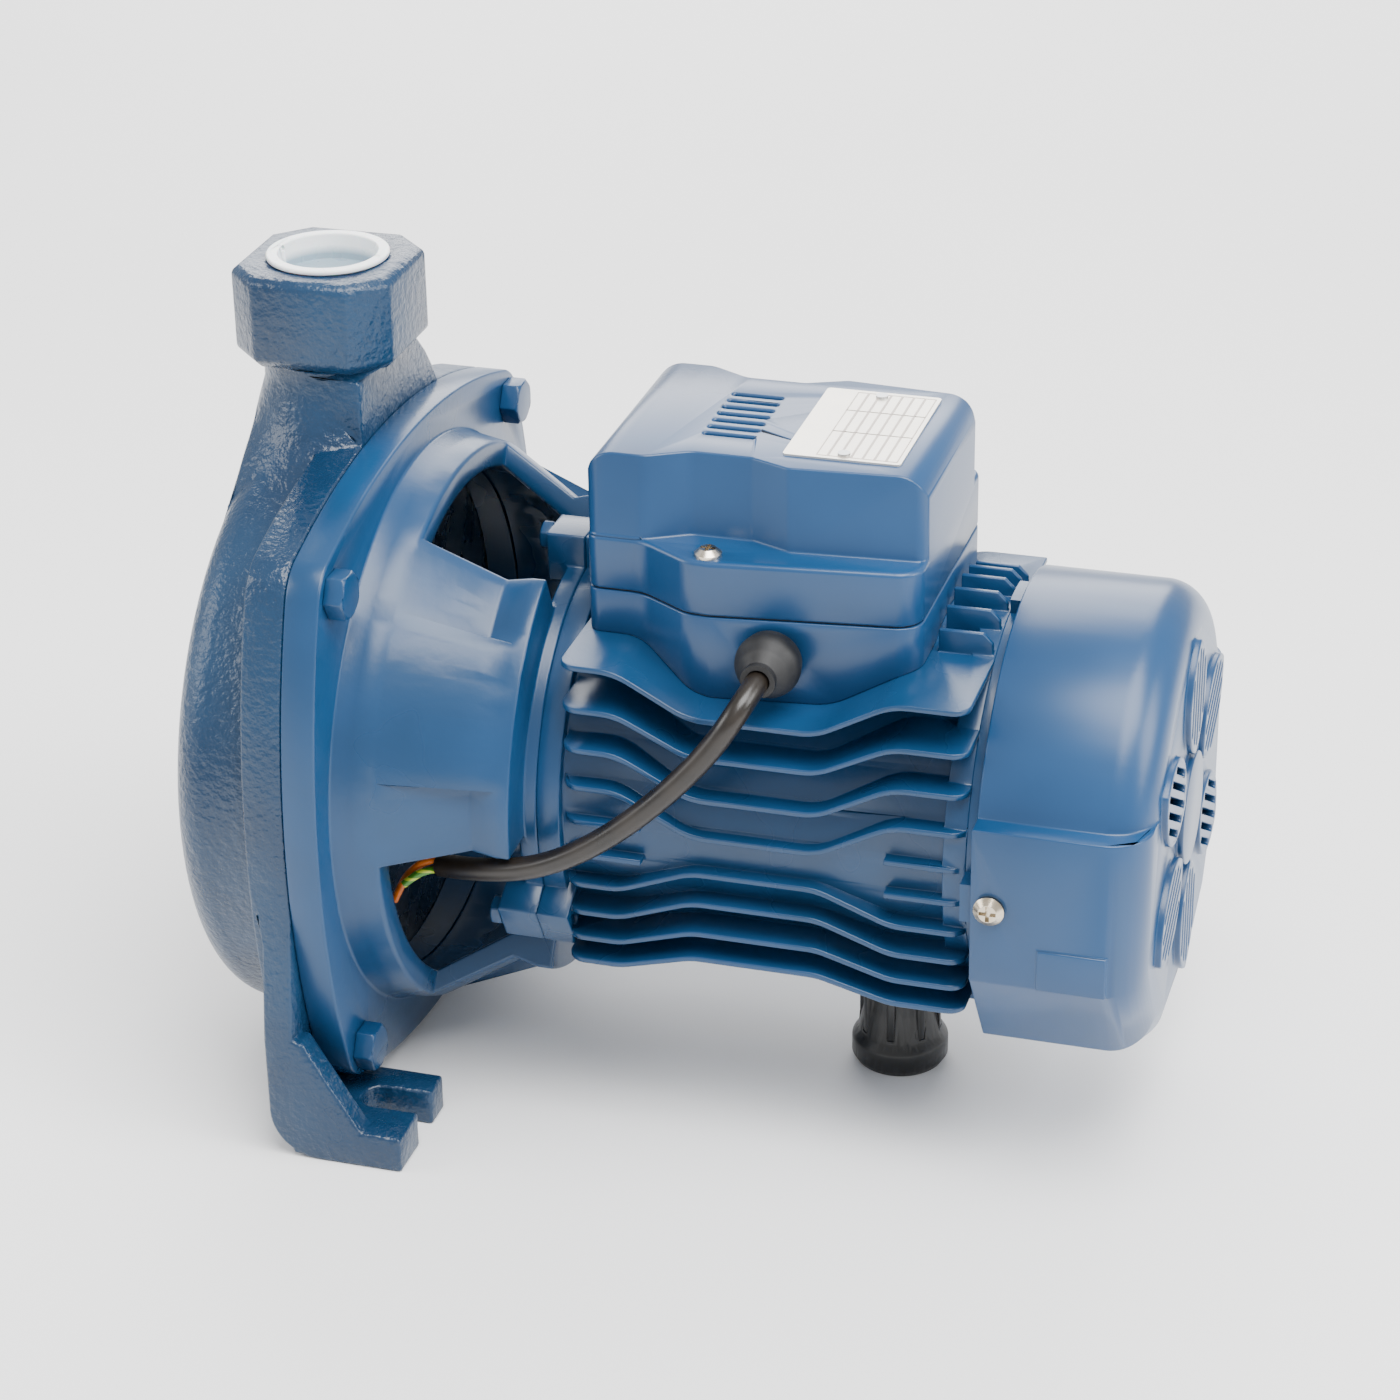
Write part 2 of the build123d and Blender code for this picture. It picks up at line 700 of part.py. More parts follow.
# ---------------------------------------------------------------- rotating group
def shaft():
    """Stepped shaft from the impeller nut thread to the fan seat, with the key slot."""
    bar = turned([(-shaft_front, 0), (-shaft_front, thread_radius), (impeller_front + shroud, thread_radius),
                  (impeller_front + shroud, wet_radius), (x_joint + 14, wet_radius),
                  (x_joint + 14, bearing_bore),
                  (x_front_bearing + bearing_width, bearing_bore),
                  (x_front_bearing + bearing_width, rotor_seat),
                  (x_rear_bearing, rotor_seat), (x_rear_bearing, bearing_bore),
                  (x_rear_bearing + bearing_width + 2, bearing_bore),
                  (x_rear_bearing + bearing_width + 2, wet_radius), (shaft_rear, wet_radius),
                  (shaft_rear, 0)])
    return bar - key_shape()


def key_shape():
    low = wet_radius - key_height * 0.6
    return block(key_end - key_length, key_end, -key_width / 2, key_width / 2, low, low + key_height)


def impeller_vane():
    """One backward-curved vane drawn across the shaft."""
    inner = eye_radius + 3
    outer = impeller_radius - 0.5
    places = ((inner, 0), ((inner + outer) / 2, 20), (outer, 56))
    points = [(r * cos(radians(a)), r * sin(radians(a))) for r, a in places]
    return plate(SlotArc(ThreePointArc(*points), vane_thickness), impeller_front + shroud / 2,
                 impeller_rear - shroud / 2) & rod(impeller_radius, impeller_front, impeller_rear)


def impeller():
    """Closed impeller: two shrouds, curved vanes, eye ring and hub."""
    front = turned([(impeller_front - eye_length, eye_radius - 3), (impeller_front - eye_length, eye_radius),
                    (impeller_front, eye_radius), (impeller_front, impeller_radius),
                    (impeller_front + shroud, impeller_radius), (impeller_front + shroud, eye_radius - 3)])
    back = ring(impeller_radius, wet_radius, impeller_rear - shroud, impeller_rear)
    hub = ring(hub_radius, wet_radius, impeller_front + shroud, impeller_rear + 0.5)
    vanes = [Rot(X=i * 360 / vane_count) * impeller_vane() for i in range(vane_count)]
    return joined([front, back, hub] + vanes) - key_shape() - rod(wet_radius, impeller_front,
                                                                  impeller_rear + 5)


def impeller_nut():
    hexagon = Rot(Y=180) * bevelled_hex(impeller_nut_flats, impeller_nut_height)
    hexagon = Pos(impeller_front + shroud - 1.5, 0, 0) * hexagon
    return hexagon - rod(thread_radius, -shaft_front - 5, 0)


def impeller_washer():
    x_end = impeller_front + shroud
    return ring(hub_radius - 1.5, thread_radius, x_end - 1.5, x_end)


def slinger():
    """Rubber water thrower on the shaft behind the backplate."""
    x_start = x_joint + 24
    return turned([(x_start, bearing_bore), (x_start, bearing_bore + 3), (x_start + 3, bearing_bore + 9),
                   (x_start + 4.5, bearing_bore + 9), (x_start + 4, bearing_bore + 3),
                   (x_start + 8, bearing_bore + 2.5),
                   (x_start + 8, bearing_bore)])


def rotor_core():
    return ring(rotor_radius, rotor_seat, core_x, core_end)


def rotor_cage():
    """Cast end rings of the squirrel cage, each with small cooling vanes."""
    pieces = []
    for x, direction in ((core_x, -1), (core_end, 1)):
        x_far = x + direction * end_ring
        band = ring(rotor_radius - 1, rotor_radius - 10, min(x, x_far), max(x, x_far))
        x_tip = x_far + direction * 5
        vane = block(min(x_far, x_tip), max(x_far, x_tip), rotor_radius - 9, rotor_radius - 2, -1.2, 1.2)
        pieces.append(joined([band] + about_shaft(vane, range(0, 360, 45))))
    return group(pieces)


def fan():
    """Plastic radial fan with straight blades on a disc."""
    x_start = x_housing_end + fan_start
    x_end = x_start + fan_width
    disc = ring(fan_radius, wet_radius, x_start, x_start + 2)
    hub = ring(fan_hub_radius, wet_radius, x_start, x_end - 3)
    blade_view = outline([(x_start, fan_hub_radius - 1), (x_start, fan_radius), (x_end - 4, fan_radius),
                          (x_end, fan_radius - 6), (x_end, 30), (x_end - 5, fan_hub_radius - 1)])
    blade = extrude(blade_view, 1.1, both=True)
    blades = about_shaft(blade, [i * 360 / fan_blades for i in range(fan_blades)])
    return joined([disc, hub] + blades)


def fan_clip():
    """Spring ring that keeps the fan on the shaft."""
    x_start = x_housing_end + fan_start + fan_width - 3
    return ring(wet_radius + 3, wet_radius, x_start, x_start + 1.2)


# ---------------------------------------------------------------- motor
def wave_line(height_end, height_middle, lift):
    """Corner points of a fin's wavy line, from the fan end back to the bracket end."""
    a = x_fins + fin_dip_start
    b = x_fins + fin_dip_end
    points = [(x_fins - 20, height_end), (a, height_end), (a + fin_wave, height_middle), (b, height_middle),
              (b + fin_wave, height_end), (x_housing_end + 20, height_end)]
    return [(x, z + lift) for x, z in points]


def wave_plate(height_end, height_middle, y_half):
    """Wavy plate across the motor that follows one fin."""
    upper = FilletPolyline(*wave_line(height_end, height_middle, fin_thickness / 2), radius=fin_wave_round)
    lower = FilletPolyline(*wave_line(height_end, height_middle, -fin_thickness / 2), radius=fin_wave_round)
    face = make_face([*upper.edges(), *lower.edges(), Line(upper @ 0, lower @ 0), Line(upper @ 1, lower @ 1)])
    return wall_along_y(face, -y_half, y_half)


def fin_plan():
    """Outline that all side fins end on, seen from above."""
    return outline([(x_fins, -fin_outer), (x_housing_end, -fin_outer), (x_housing_end, fin_outer),
                    (x_fins, fin_outer)],
                   {0: fin_corner_round, 3: fin_corner_round, 1: fin_corner_chamfer, 2: fin_corner_chamfer})


def side_fins():
    """All side fins as wavy or short plates, still crossing the motor body."""
    plates = [wave_plate(end, middle, fin_outer) for end, middle in full_fins]
    for height in short_fins:
        for x in (x_fins, x_housing_end - short_fin_length):
            plates.append(block(x, x + short_fin_length, -fin_outer, fin_outer,
                                height - fin_thickness / 2, height + fin_thickness / 2))
    far_end = block(x_fins - 1, x_housing_end + 1, far_fin_end, fin_outer + 1, full_fins[0][1] - 3,
                    full_fins[0][0] + 3)
    return joined(plates) & upright(fin_plan(), -shaft_height, shaft_height) - far_end


def upright_fin(y, x_start, x_end, direction):
    """Upright fin above (1) or below (-1) the motor body, with its rear corner cut."""
    top = sqrt(top_fin_radius ** 2 - y ** 2) * direction
    root = (stator_radius - 8) * direction
    view = outline([(x_start, root), (x_start, top), (x_end - top_fin_cut, top),
                    (x_end, top - top_fin_cut * direction),
                    (x_end, root)])
    return wall_along_y(view, y - fin_thickness / 2, y + fin_thickness / 2)


def motor_housing():
    """Finned die-cast barrel with collars, bolt lugs, terminal box seat and foot boss."""
    outside = stator_radius + housing_wall
    barrel = rod(outside, x_motor, x_housing_end)
    front_collar = rod(housing_collar, x_motor, x_motor + 7)
    rear_collar = rod(housing_collar, x_housing_end - 7, x_housing_end)
    fins = [upright_fin(y, x_housing_end - top_fin_length, x_housing_end - 1, 1) for y in top_fin_places]
    fins += [upright_fin(y, x_fins, x_housing_end - 1, -1) for y in top_fin_places]
    seat = block(x_box + 6, x_box + box_length - 6, -22, 22, 40, box_seat)
    foot_boss = Pos(support_x, 0, 0) * upright(Circle(9), -support_seat, -stator_radius)
    lugs = about_shaft(lug(x_motor, x_motor + housing_lug, housing_collar - 10), lug_angles)
    housing = joined([barrel, front_collar, rear_collar, side_fins()] + fins + [seat, foot_boss] + lugs)
    housing = housing - rod(stator_radius, x_motor - 1, x_housing_end + 1)
    bolt_hole = rod(motor_bolt_radius, x_motor - 1, x_motor + housing_lug + 1, lug_radius, 0)
    for angle in lug_angles:
        housing = housing - Rot(X=angle) * bolt_hole
    housing = housing - Pos(x_box + wire_hole_x, 0, 0) * upright(Circle(wire_hole), 30, box_seat + 1)
    housing = housing - Pos(support_x, 0, 0) * upright(Circle(foot_screw_radius), -support_seat - 1,
                                                       -stator_radius)
    for place in shield_screw_places():
        housing = housing - rod(shield_screw_radius, x_housing_end - 12, x_housing_end + 1, *place)
    return housing


def shield_screw_places():
    """Centres of the four screws that hold the rear end shield."""
    return [(shield_screw_circle * cos(radians(a)),
             shield_screw_circle * sin(radians(a))) for a in (45, 135, 225, 315)]


def stator_core():
    """Laminated ring with open winding slots towards the rotor."""
    core = ring(stator_radius, rotor_radius + air_gap, core_x, core_end)
    slot = block(core_x - 1, core_end + 1, rotor_radius - 2, rotor_radius + 12, -1.4, 1.4)
    for cut in about_shaft(slot, range(0, 360, 15)):
        core = core - cut
    return core


def stator_windings():
    """Varnished copper end windings, one bundle at each end of the core."""
    pieces = []
    for x, direction in ((core_x, -1), (core_end, 1)):
        x_far = x + direction * winding_length
        inner = rotor_radius + 3
        bundle = turned([(x, inner), (x, winding_radius), (x_far, winding_radius), (x_far, inner)],
                        {2: 5, 3: 5})
        pieces.append(bundle)
    return group(pieces)


def rear_end_shield():
    """End shield with the rear bearing hub and three lugs that carry the fan cover."""
    disc = rod(housing_collar, x_housing_end, x_housing_end + shield_thickness)
    spigot = ring(stator_radius, stator_radius - 4, x_housing_end - 4, x_housing_end)
    hub = rod(bearing_outside + bearing_hub_wall, x_rear_bearing - 2, x_housing_end)
    shield = joined([disc, spigot, hub])
    x_lug_end = x_cover + cover_screw_x + 5
    for side in (-1, 1):
        y_in = side * (housing_collar - 6)
        y_out = side * (cover_side - cover_wall)
        arm = block(x_housing_end, x_lug_end, min(y_in, y_out), max(y_in, y_out), cover_screw_z - 6,
                    cover_screw_z + 6)
        shield = shield + arm
    x_top = x_cover + 6
    shield = shield + (sector(x_housing_end, x_top, housing_collar - 6, cover_radius - cover_wall, 90, 6))
    shield = shield - rod(bearing_outside, x_rear_bearing - 3, x_rear_bearing + bearing_width + 1)
    shield = shield - rod(wet_radius + 3, x_rear_bearing, x_housing_end + shield_thickness + 1)
    for y, z in shield_screw_places():
        shield = shield - rod(shield_screw_radius + cast_hole_gap, x_housing_end - 5, x_housing_end + 10, y,
                              z)
    shield = shield - rod(fan_radius, x_housing_end + fan_start - 1, x_housing_end + fan_start + 10)
    for side in (-1, 1):
        shield = shield - screw_hole(side)
    return shield


def screw_hole(side):
    """Hole for one fan cover screw, drilled in from the side."""
    depth = upright(Circle(cover_screw_radius), cover_side - 12, cover_side + 2)
    return Pos(x_cover + cover_screw_x, 0, cover_screw_z) * Rot(X=-side * 90) * depth


def rear_shield_screws():
    bolt = hex_bolt(8.0, 3.5, shield_screw_radius, 14)
    return group([Pos(x_housing_end + shield_thickness, y, z) * bolt for y, z in shield_screw_places()])


# ---------------------------------------------------------------- fan cover
def cover_solid(inset, x_start, x_end):
    """Outer (or, with an inset, inner) shape of the cover: round above, flat sides below."""
    bend = cover_round - inset
    radius = cover_radius - inset
    barrel = turned([(x_start, 0), (x_start, radius), (x_end, radius), (x_end, 0)], {2: bend})
    barrel = barrel & block(x_start, x_end, -radius, radius, 0, radius)
    side = cover_side - inset
    low = [(side, cover_step - inset), (side, -cover_side_bottom), (49.0 - inset * 0.8, -57.0 + inset * 0.6),
           (28.0 - inset * 0.3, -cover_radius + inset)]
    skirt = plate(outline(low + [(-y, z) for y, z in reversed(low)]), x_start, x_end)
    skirt = fillet(skirt.edges().group_by(Axis.X)[-1].sort_by(Axis.Z)[:-1], bend)
    return barrel + skirt


def leaf_half_length(offset):
    """Half of a grille leaf's length, measured beside its middle line."""
    half = (leaf_tip - leaf_root) / 2
    arc = (half ** 2 + leaf_half_width ** 2) / (2 * leaf_half_width)
    return sqrt(arc ** 2 - (abs(offset) + arc - leaf_half_width) ** 2)


def grille_leaf():
    """Outline of one raised leaf of the grille, pointing along +Y."""
    middle = (leaf_root + leaf_tip) / 2
    tips = ((leaf_root, 0), (leaf_tip, 0))
    upper = ThreePointArc(tips[0], (middle, leaf_half_width), tips[1])
    lower = ThreePointArc(tips[1], (middle, -leaf_half_width), tips[0])
    return make_face([upper, lower])


def leaf_slots():
    """Narrow slots side by side that follow the leaf's outline."""
    middle = (leaf_root + leaf_tip) / 2
    offsets = [(i - (leaf_slot_count - 1) / 2) * leaf_slot_pitch for i in range(leaf_slot_count)]
    return [Pos(middle, offset) * SlotOverall(2 * leaf_half_length(offset) - 2 * leaf_margin, leaf_slot_width)
            for offset in offsets]


def fan_cover():
    """Pressed cover with a rounded rear edge and a grille of six raised, slotted leaves."""
    shell = cover_solid(0.0, x_cover, x_cover_rear)
    inside = cover_solid(cover_wall, x_cover - 1, x_cover_rear - cover_wall)
    leaves = [plate(Rot(0, 0, angle) * grille_leaf(), x_cover_rear - 0.5, x_cover_rear + grille_relief)
              for angle in leaf_angles]
    hub = rod(grille_hub_radius, x_cover_rear - 0.5, x_cover_rear + grille_relief)
    cover = joined([shell - inside, hub] + leaves)
    for angle in leaf_angles:
        for slot in leaf_slots():
            cover = cover - plate(Rot(0, 0, angle) * slot, x_cover_rear - cover_wall - 1, x_cover_rear + 4)
    for side in (-1, 1):
        ledge = block(x_cover + ledge_start, x_cover + ledge_start + ledge_length, side * (cover_side - 1),
                      side * (cover_side + ledge_relief), ledge_low, ledge_low + ledge_width)
        cover = cover + ledge - screw_hole(side)
    return cover


def fan_cover_screws():
    screw = Pos(0, 0, cover_side) * pan_screw(4.5, 2.6, cover_screw_radius, 10)
    place = Pos(x_cover + cover_screw_x, 0, cover_screw_z)
    return group([place * Rot(X=-side * 90) * screw for side in (-1, 1)])


# ---------------------------------------------------------------- terminal box
def plan_sketch(plan, rounds, inset):
    """Both halves of a plan whose walls are moved in by the inset."""
    near = [(x_box + x, inset - half_width) for x, half_width in plan]
    near[0] = (near[0][0] + inset, near[0][1])
    near[-1] = (near[-1][0] - inset, near[-1][1])
    far = [(x, -y) for x, y in reversed(near)]
    corners = [*rounds, *reversed(rounds)]
    return outline(near + far, {i: max(radius - inset, 1) for i, radius in enumerate(corners) if radius})


def box_sketch(inset=0.0):
    """Plan of the terminal box below its shelf: narrow front end, wide middle."""
    return plan_sketch(box_plan, box_plan_rounds, inset)


def lid_sketch(inset=0.0):
    """Plan of the lid above its shelf, drawn in where the lid screws sit."""
    return plan_sketch(lid_plan, lid_plan_rounds, inset)


def terminal_box_base():
    """Skirt that follows the top fin, floor over the motor, posts for the lid screws."""
    base = upright(box_sketch(), 36, box_joint) - upright(box_sketch(box_wall), 30, box_joint + 1)
    base = base + upright(box_sketch(box_wall - 0.5), box_seat, box_seat + box_floor)
    for x, y in lid_screw_places:
        base = base + Pos(x, y, 0) * upright(Circle(post_radius), 36, box_joint)
    end, middle = full_fins[0]
    line = FilletPolyline(*wave_line(end, middle, fin_thickness / 2), radius=fin_wave_round)
    under = Polyline(line @ 0, (x_fins - 20, 20), (x_housing_end + 20, 20), line @ 1)
    below_fin = wall_along_y(make_face([*line.edges(), *under.edges()]), -80, 80)
    base = base - below_fin - rod(housing_collar - 3 + 0.3, x_motor, x_housing_end - 8)
    for x, y in lid_screw_places:
        base = base - Pos(x, y, 0) * upright(Circle(lid_screw_radius), box_joint - 18, box_joint + 1)
    base = base - Pos(x_box + wire_hole_x, 0, 0) * upright(Circle(wire_hole), box_seat - 1,
                                                           box_seat + box_floor + 1)
    base = base - gland_bar(gland_neck_radius, 30, 60)
    return base


def lid_gasket():
    gasket = upright(box_sketch(gasket_inset), box_joint, box_joint + gasket_thickness)
    gasket = gasket - upright(box_sketch(box_wall - 0.2), box_joint - 1, box_joint + 2)
    pads = [Pos(x, y, 0) * upright(Circle(post_radius), box_joint, box_joint + gasket_thickness)
            for x, y in lid_screw_places]
    gasket = joined([gasket] + pads)
    for x, y in lid_screw_places:
        gasket = gasket - Pos(x, y, 0) * upright(Circle(lid_screw_radius), box_joint - 1, box_joint + 2)
    return gasket


def rounded_top(inset):
    """Side view of the lid with its big rounded ends, made solid across the box."""
    x0 = x_box + inset
    x1 = x_box + box_length - inset
    radius = box_top_round - inset
    view = outline([(x0, box_joint), (x0, box_top - inset), (x1, box_top - inset), (x1, box_joint)],
                   {1: radius, 2: radius})
    return wall_along_y(view, -70, 70)


def terminal_box_lid():
    """Hollow lid: screw shelves on both sides, vents and a flat for the nameplate."""
    start = box_joint + gasket_thickness
    lower = upright(box_sketch(), start, box_shelf)
    lower = fillet(lower.edges().group_by(Axis.Z)[-1], shelf_round)
    upper = upright(lid_sketch(), start, box_top) & rounded_top(0.0)
    hollow_low = upright(box_sketch(box_wall), start - 1, box_shelf - box_wall)
    hollow_up = upright(lid_sketch(box_wall), start - 1, box_top) & rounded_top(box_wall)
    lid = lower + upper - hollow_low - hollow_up
    for x, y in lid_screw_places:
        lid = lid + Pos(x, y, 0) * upright(Circle(post_radius), start, box_shelf - 1)
    for x, y in lid_screw_places:
        lid = lid - Pos(x, y, 0) * upright(Circle(lid_screw_radius + 0.3), start - 1, box_shelf + 1)
    for i in range(vent_count):
        y = (i - (vent_count - 1) / 2) * vent_pitch
        vent = upright(SlotOverall(vent_length, vent_width), box_top - 5, box_top + 1)
        lid = lid - Pos(x_vents + vent_length / 2, y, 0) * vent
    for y in rivet_places:
        lid = lid - Pos(x_plate, y, 0) * upright(Circle(rivet_radius), box_top - 5, box_top + 1)
    return lid


def lid_screws():
    screw = pan_screw(4.0, 2.4, lid_screw_radius, box_shelf - box_joint + 14)
    return group([Pos(x, y, box_shelf) * screw for x, y in lid_screw_places])


def nameplate():
    plan = fillet(Rectangle(plate_length, plate_width).vertices(), 1.2)
    plate_solid = Pos(x_plate, 0, 0) * upright(plan, box_top, box_top + plate_thickness)
    for y in rivet_places:
        plate_solid = plate_solid - Pos(x_plate, y, 0) * upright(Circle(rivet_radius), box_top - 1,
                                                                 box_top + 2)
    return plate_solid


def nameplate_rivets():
    top = box_top + plate_thickness
    rivet = upright(Circle(rivet_radius), box_top - box_wall, top)
    rivet = rivet + upright(Circle(rivet_head_radius), top, top + rivet_head)
    return group([Pos(x_plate, y, 0) * rivet for y in rivet_places])


def terminal_block():
    """Moulded block with six screw wells, standing on the floor of the box."""
    floor = box_seat + box_floor
    start = x_box + terminal_block_start
    half = terminal_block_width / 2
    body = block(start, start + terminal_block_length, terminal_middle - half, terminal_middle + half,
                 floor, floor + terminal_block_height)
    for x, y in terminal_places:
        well = upright(Circle(terminal_well), floor + 4, floor + terminal_block_height + 1)
        body = body - Pos(x, y, 0) * well
    return body


def terminal_screws():
    floor = box_seat + box_floor
    screw = upright(Circle(terminal_screw_radius), 0, 4.5) - block(-3, 3, -0.4, 0.4, 3.7, 5)
    screw = Pos(0, 0, floor + 4) * screw
    return group([Pos(x, y, 0) * screw for x, y in terminal_places])


def capacitor():
    """Motor capacitor lying along the box above the terminal block."""
    length = capacitor_length
    radius = capacitor_radius
    can = turned([(0, 0), (0, radius), (length, radius), (length, 0)],
                 {1: capacitor_round, 2: capacitor_round})
    tabs = [block(length, length + 6, y - 0.4, y + 0.4, -3, 3) for y in (-6, 6)]
    return Pos(x_box + capacitor_start, capacitor_y, capacitor_z) * joined([can] + tabs)


def capacitor_clip():
    """Saddle under the capacitor."""
    floor = box_seat + box_floor
    saddle = block(x_box + 40, x_box + 52, -6, 22, floor, capacitor_z - 8)
    saddle = saddle - rod(capacitor_radius, x_box + 30, x_box + 60, capacitor_y, capacitor_z)
    return saddle - block(x_box + 45.9, x_box + 60, -9, -5.9, floor - 1, floor + 20)


# ---------------------------------------------------------------- cable
def gland_bar(radius, near, far):
    """Round bar along -Y through the gland's place, between two distances from the middle."""
    bar = upright(Circle(radius), near, far)
    return Pos(x_box + gland_x, 0, gland_z) * Rot(X=90) * bar


def cable_gland():
    """Rubber bulb that seals the cable into the wall of the box."""
    wall = -gland_wall_y
    tip = cable_radius + gland_lip
    bulb = turned_up([(0, wall), (gland_radius - 1, wall), (gland_radius, wall + 5),
                      (gland_radius - 2.5, wall + 10),
                      (tip, wall + gland_out - 2), (tip, wall + gland_out), (0, wall + gland_out)],
                      {2: 6, 3: 5})
    neck = upright(Circle(gland_neck_radius), wall - 9, wall + 1)
    body = Pos(x_box + gland_x, 0, gland_z) * Rot(X=90) * (bulb + neck)
    return body - gland_bar(cable_radius, 20, 90)


def bend_radii(points):
    """Largest fair bend at each inner point: its share of the shorter run over tan of half the turn."""
    radii = []
    for before, here, after in zip(points, points[1:], points[2:]):
        first = Vector(*here) - Vector(*before)
        second = Vector(*after) - Vector(*here)
        half_turn = radians(first.get_angle(second)) / 2
        radii.append(bend_share * min(first.length, second.length) * cos(half_turn) / sin(half_turn))
    return radii


def tube(points, radius):
    """Round tube along straight runs joined by tangent bends."""
    line = FilletPolyline(*points, radius=bend_radii(points))
    start = Plane(origin=line @ 0, z_dir=line % 0)
    return sweep(start * Circle(radius), path=line)


def power_cable():
    cable = tube(cable_points, cable_radius)
    line = FilletPolyline(*cable_points, radius=bend_radii(cable_points))
    print("cable bend radii", [round(r, 1) for r in bend_radii(cable_points)], "length",
          round(line.length, 1),
          "volume ratio", round(cable.volume / (pi * cable_radius ** 2 * line.length), 4))
    return cable


def cable_core(side, steps):
    """One insulated wire out of the end of the cable; steps are measured from the cable's end."""
    end = Vector(*cable_points[-1])
    run = (end - Vector(*cable_points[-2])).normalized()
    offset = Vector(0, *side)
    start = end + offset - run * offset.dot(run)
    points = [tuple(start),
              tuple(start + run * core_straight)] + [tuple(end + Vector(*step)) for step in steps]
    return tube(points, core_wire_radius)


# ---------------------------------------------------------------- small exposed pieces
def discharge_plug():
    """Shipping plug pushed into the lead-in of the discharge port: a deep cup with a rim."""
    cup = lead_in_radius - joint_clearance
    bottom = boss_top - plug_depth
    rim_low = boss_top + joint_clearance
    rim_high = rim_low + plug_rim_height
    plug = turned_up([(0, bottom), (cup, bottom), (cup, rim_low), (plug_rim_radius, rim_low),
                      (plug_rim_radius, rim_high), (cup - plug_wall, rim_high),
                      (cup - plug_wall, bottom + plug_floor),
                      (0, bottom + plug_floor)], {4: 0.6, 5: 0.5})
    rib = block(-cup + 1, -cup + plug_wall + plug_rib, -plug_rib_width / 2, plug_rib_width / 2, bottom + 1,
                rim_low)
    return plug + rib + Rot(Z=180) * rib


def support_foot():
    """Ribbed plastic cone under the motor."""
    floor = -shaft_height
    skirt = floor + support_skirt
    cone = turned_up([(0, -support_seat), (support_neck, -support_seat), (support_neck + 0.5, skirt + 9),
                      (support_radius - 2, skirt), (support_radius, skirt - 3), (support_radius, floor + 2.5),
                      (support_radius - 1.5, floor), (0, floor)])
    rib = block(0, support_radius - 2.2, -1.2, 1.2, skirt + 1, -support_seat - 2)
    ribs = [Rot(Z=i * 360 / support_ribs) * rib for i in range(support_ribs)]
    foot_body = Pos(support_x, 0, 0) * joined([cone] + ribs)
    foot_body = foot_body - support_bar(foot_screw_radius, floor - 1, 0)
    return foot_body - support_bar(6.5, floor - 1, floor + foot_screw_head)


def support_bar(radius, z_start, z_end):
    return Pos(support_x, 0, 0) * upright(Circle(radius), z_start, z_end)


def support_foot_screw():
    head = foot_screw_head - shaft_height
    return support_bar(5.0, head - 4.5, head) + support_bar(foot_screw_radius, head, -stator_radius - 2)


# ---------------------------------------------------------------- nodes
nodes = {
    "pump_casing": pump_casing, "casing_bolts": casing_bolts,
    "filler_plug": lambda: casing_plug(plug_heights[0]), "drain_plug": lambda: casing_plug(plug_heights[1]),
    "backplate": backplate, "casing_o_ring": casing_o_ring,
    "seal_seat": seal_seat, "seal_seat_gasket": seal_seat_gasket, "seal_head": seal_head,
    "seal_spring": seal_spring,
    "motor_bracket": motor_bracket, "motor_bolts": motor_bolts,
    "bearing_outer_rings": bearing_outer_rings, "bearing_inner_rings": bearing_inner_rings,
    "bearing_ball_sets": bearing_ball_sets, "bearing_cages": bearing_cages, "wave_washer": wave_washer,
    "shaft": shaft, "impeller": impeller, "impeller_key": lambda: key_shape(), "impeller_nut": impeller_nut,
    "impeller_washer": impeller_washer, "slinger": slinger, "rotor_core": rotor_core,
    "rotor_cage": rotor_cage,
    "fan": fan, "fan_clip": fan_clip,
    "motor_housing": motor_housing, "stator_core": stator_core, "stator_windings": stator_windings,
    "rear_end_shield": rear_end_shield, "rear_shield_screws": rear_shield_screws,
    "fan_cover": fan_cover, "fan_cover_screws": fan_cover_screws,
    "terminal_box_base": terminal_box_base, "lid_gasket": lid_gasket, "terminal_box_lid": terminal_box_lid,
    "lid_screws": lid_screws, "nameplate": nameplate, "nameplate_rivets": nameplate_rivets,
    "terminal_block": terminal_block, "terminal_screws": terminal_screws,
    "capacitor": capacitor, "capacitor_clip": capacitor_clip,
    "cable_gland": cable_gland, "power_cable": power_cable,
    "brown_core": lambda: cable_core((0.0, 1.6), brown_steps),
    "blue_core": lambda: cable_core((1.7, -1.0), blue_steps),
    "earth_core": lambda: cable_core((-1.4, -1.0), earth_steps),
    "discharge_plug": discharge_plug, "support_foot": support_foot, "support_foot_screw": support_foot_screw,
}

x_middle = (x_suction + x_cover_rear + grille_relief) / 2
to_origin = Pos(-x_middle, 0, shaft_height)
for name, build in nodes.items():
    export_step(to_origin * build(), f"parts/{name}.step")
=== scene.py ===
# %% [markdown]
# # A close-coupled water pump
# The pump is a grey iron casing bolted to an aluminium bracket, which carries a finned electric
# motor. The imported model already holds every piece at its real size, so this lesson adds what a
# drawing leaves out: cast and moulded edges, paint, plating, rubber, and the light they need.
# Everything is in metres, with the floor at z = 0 and the shaft along +X.

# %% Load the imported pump
import bpy
import json
import math
from mathutils import Vector, Matrix


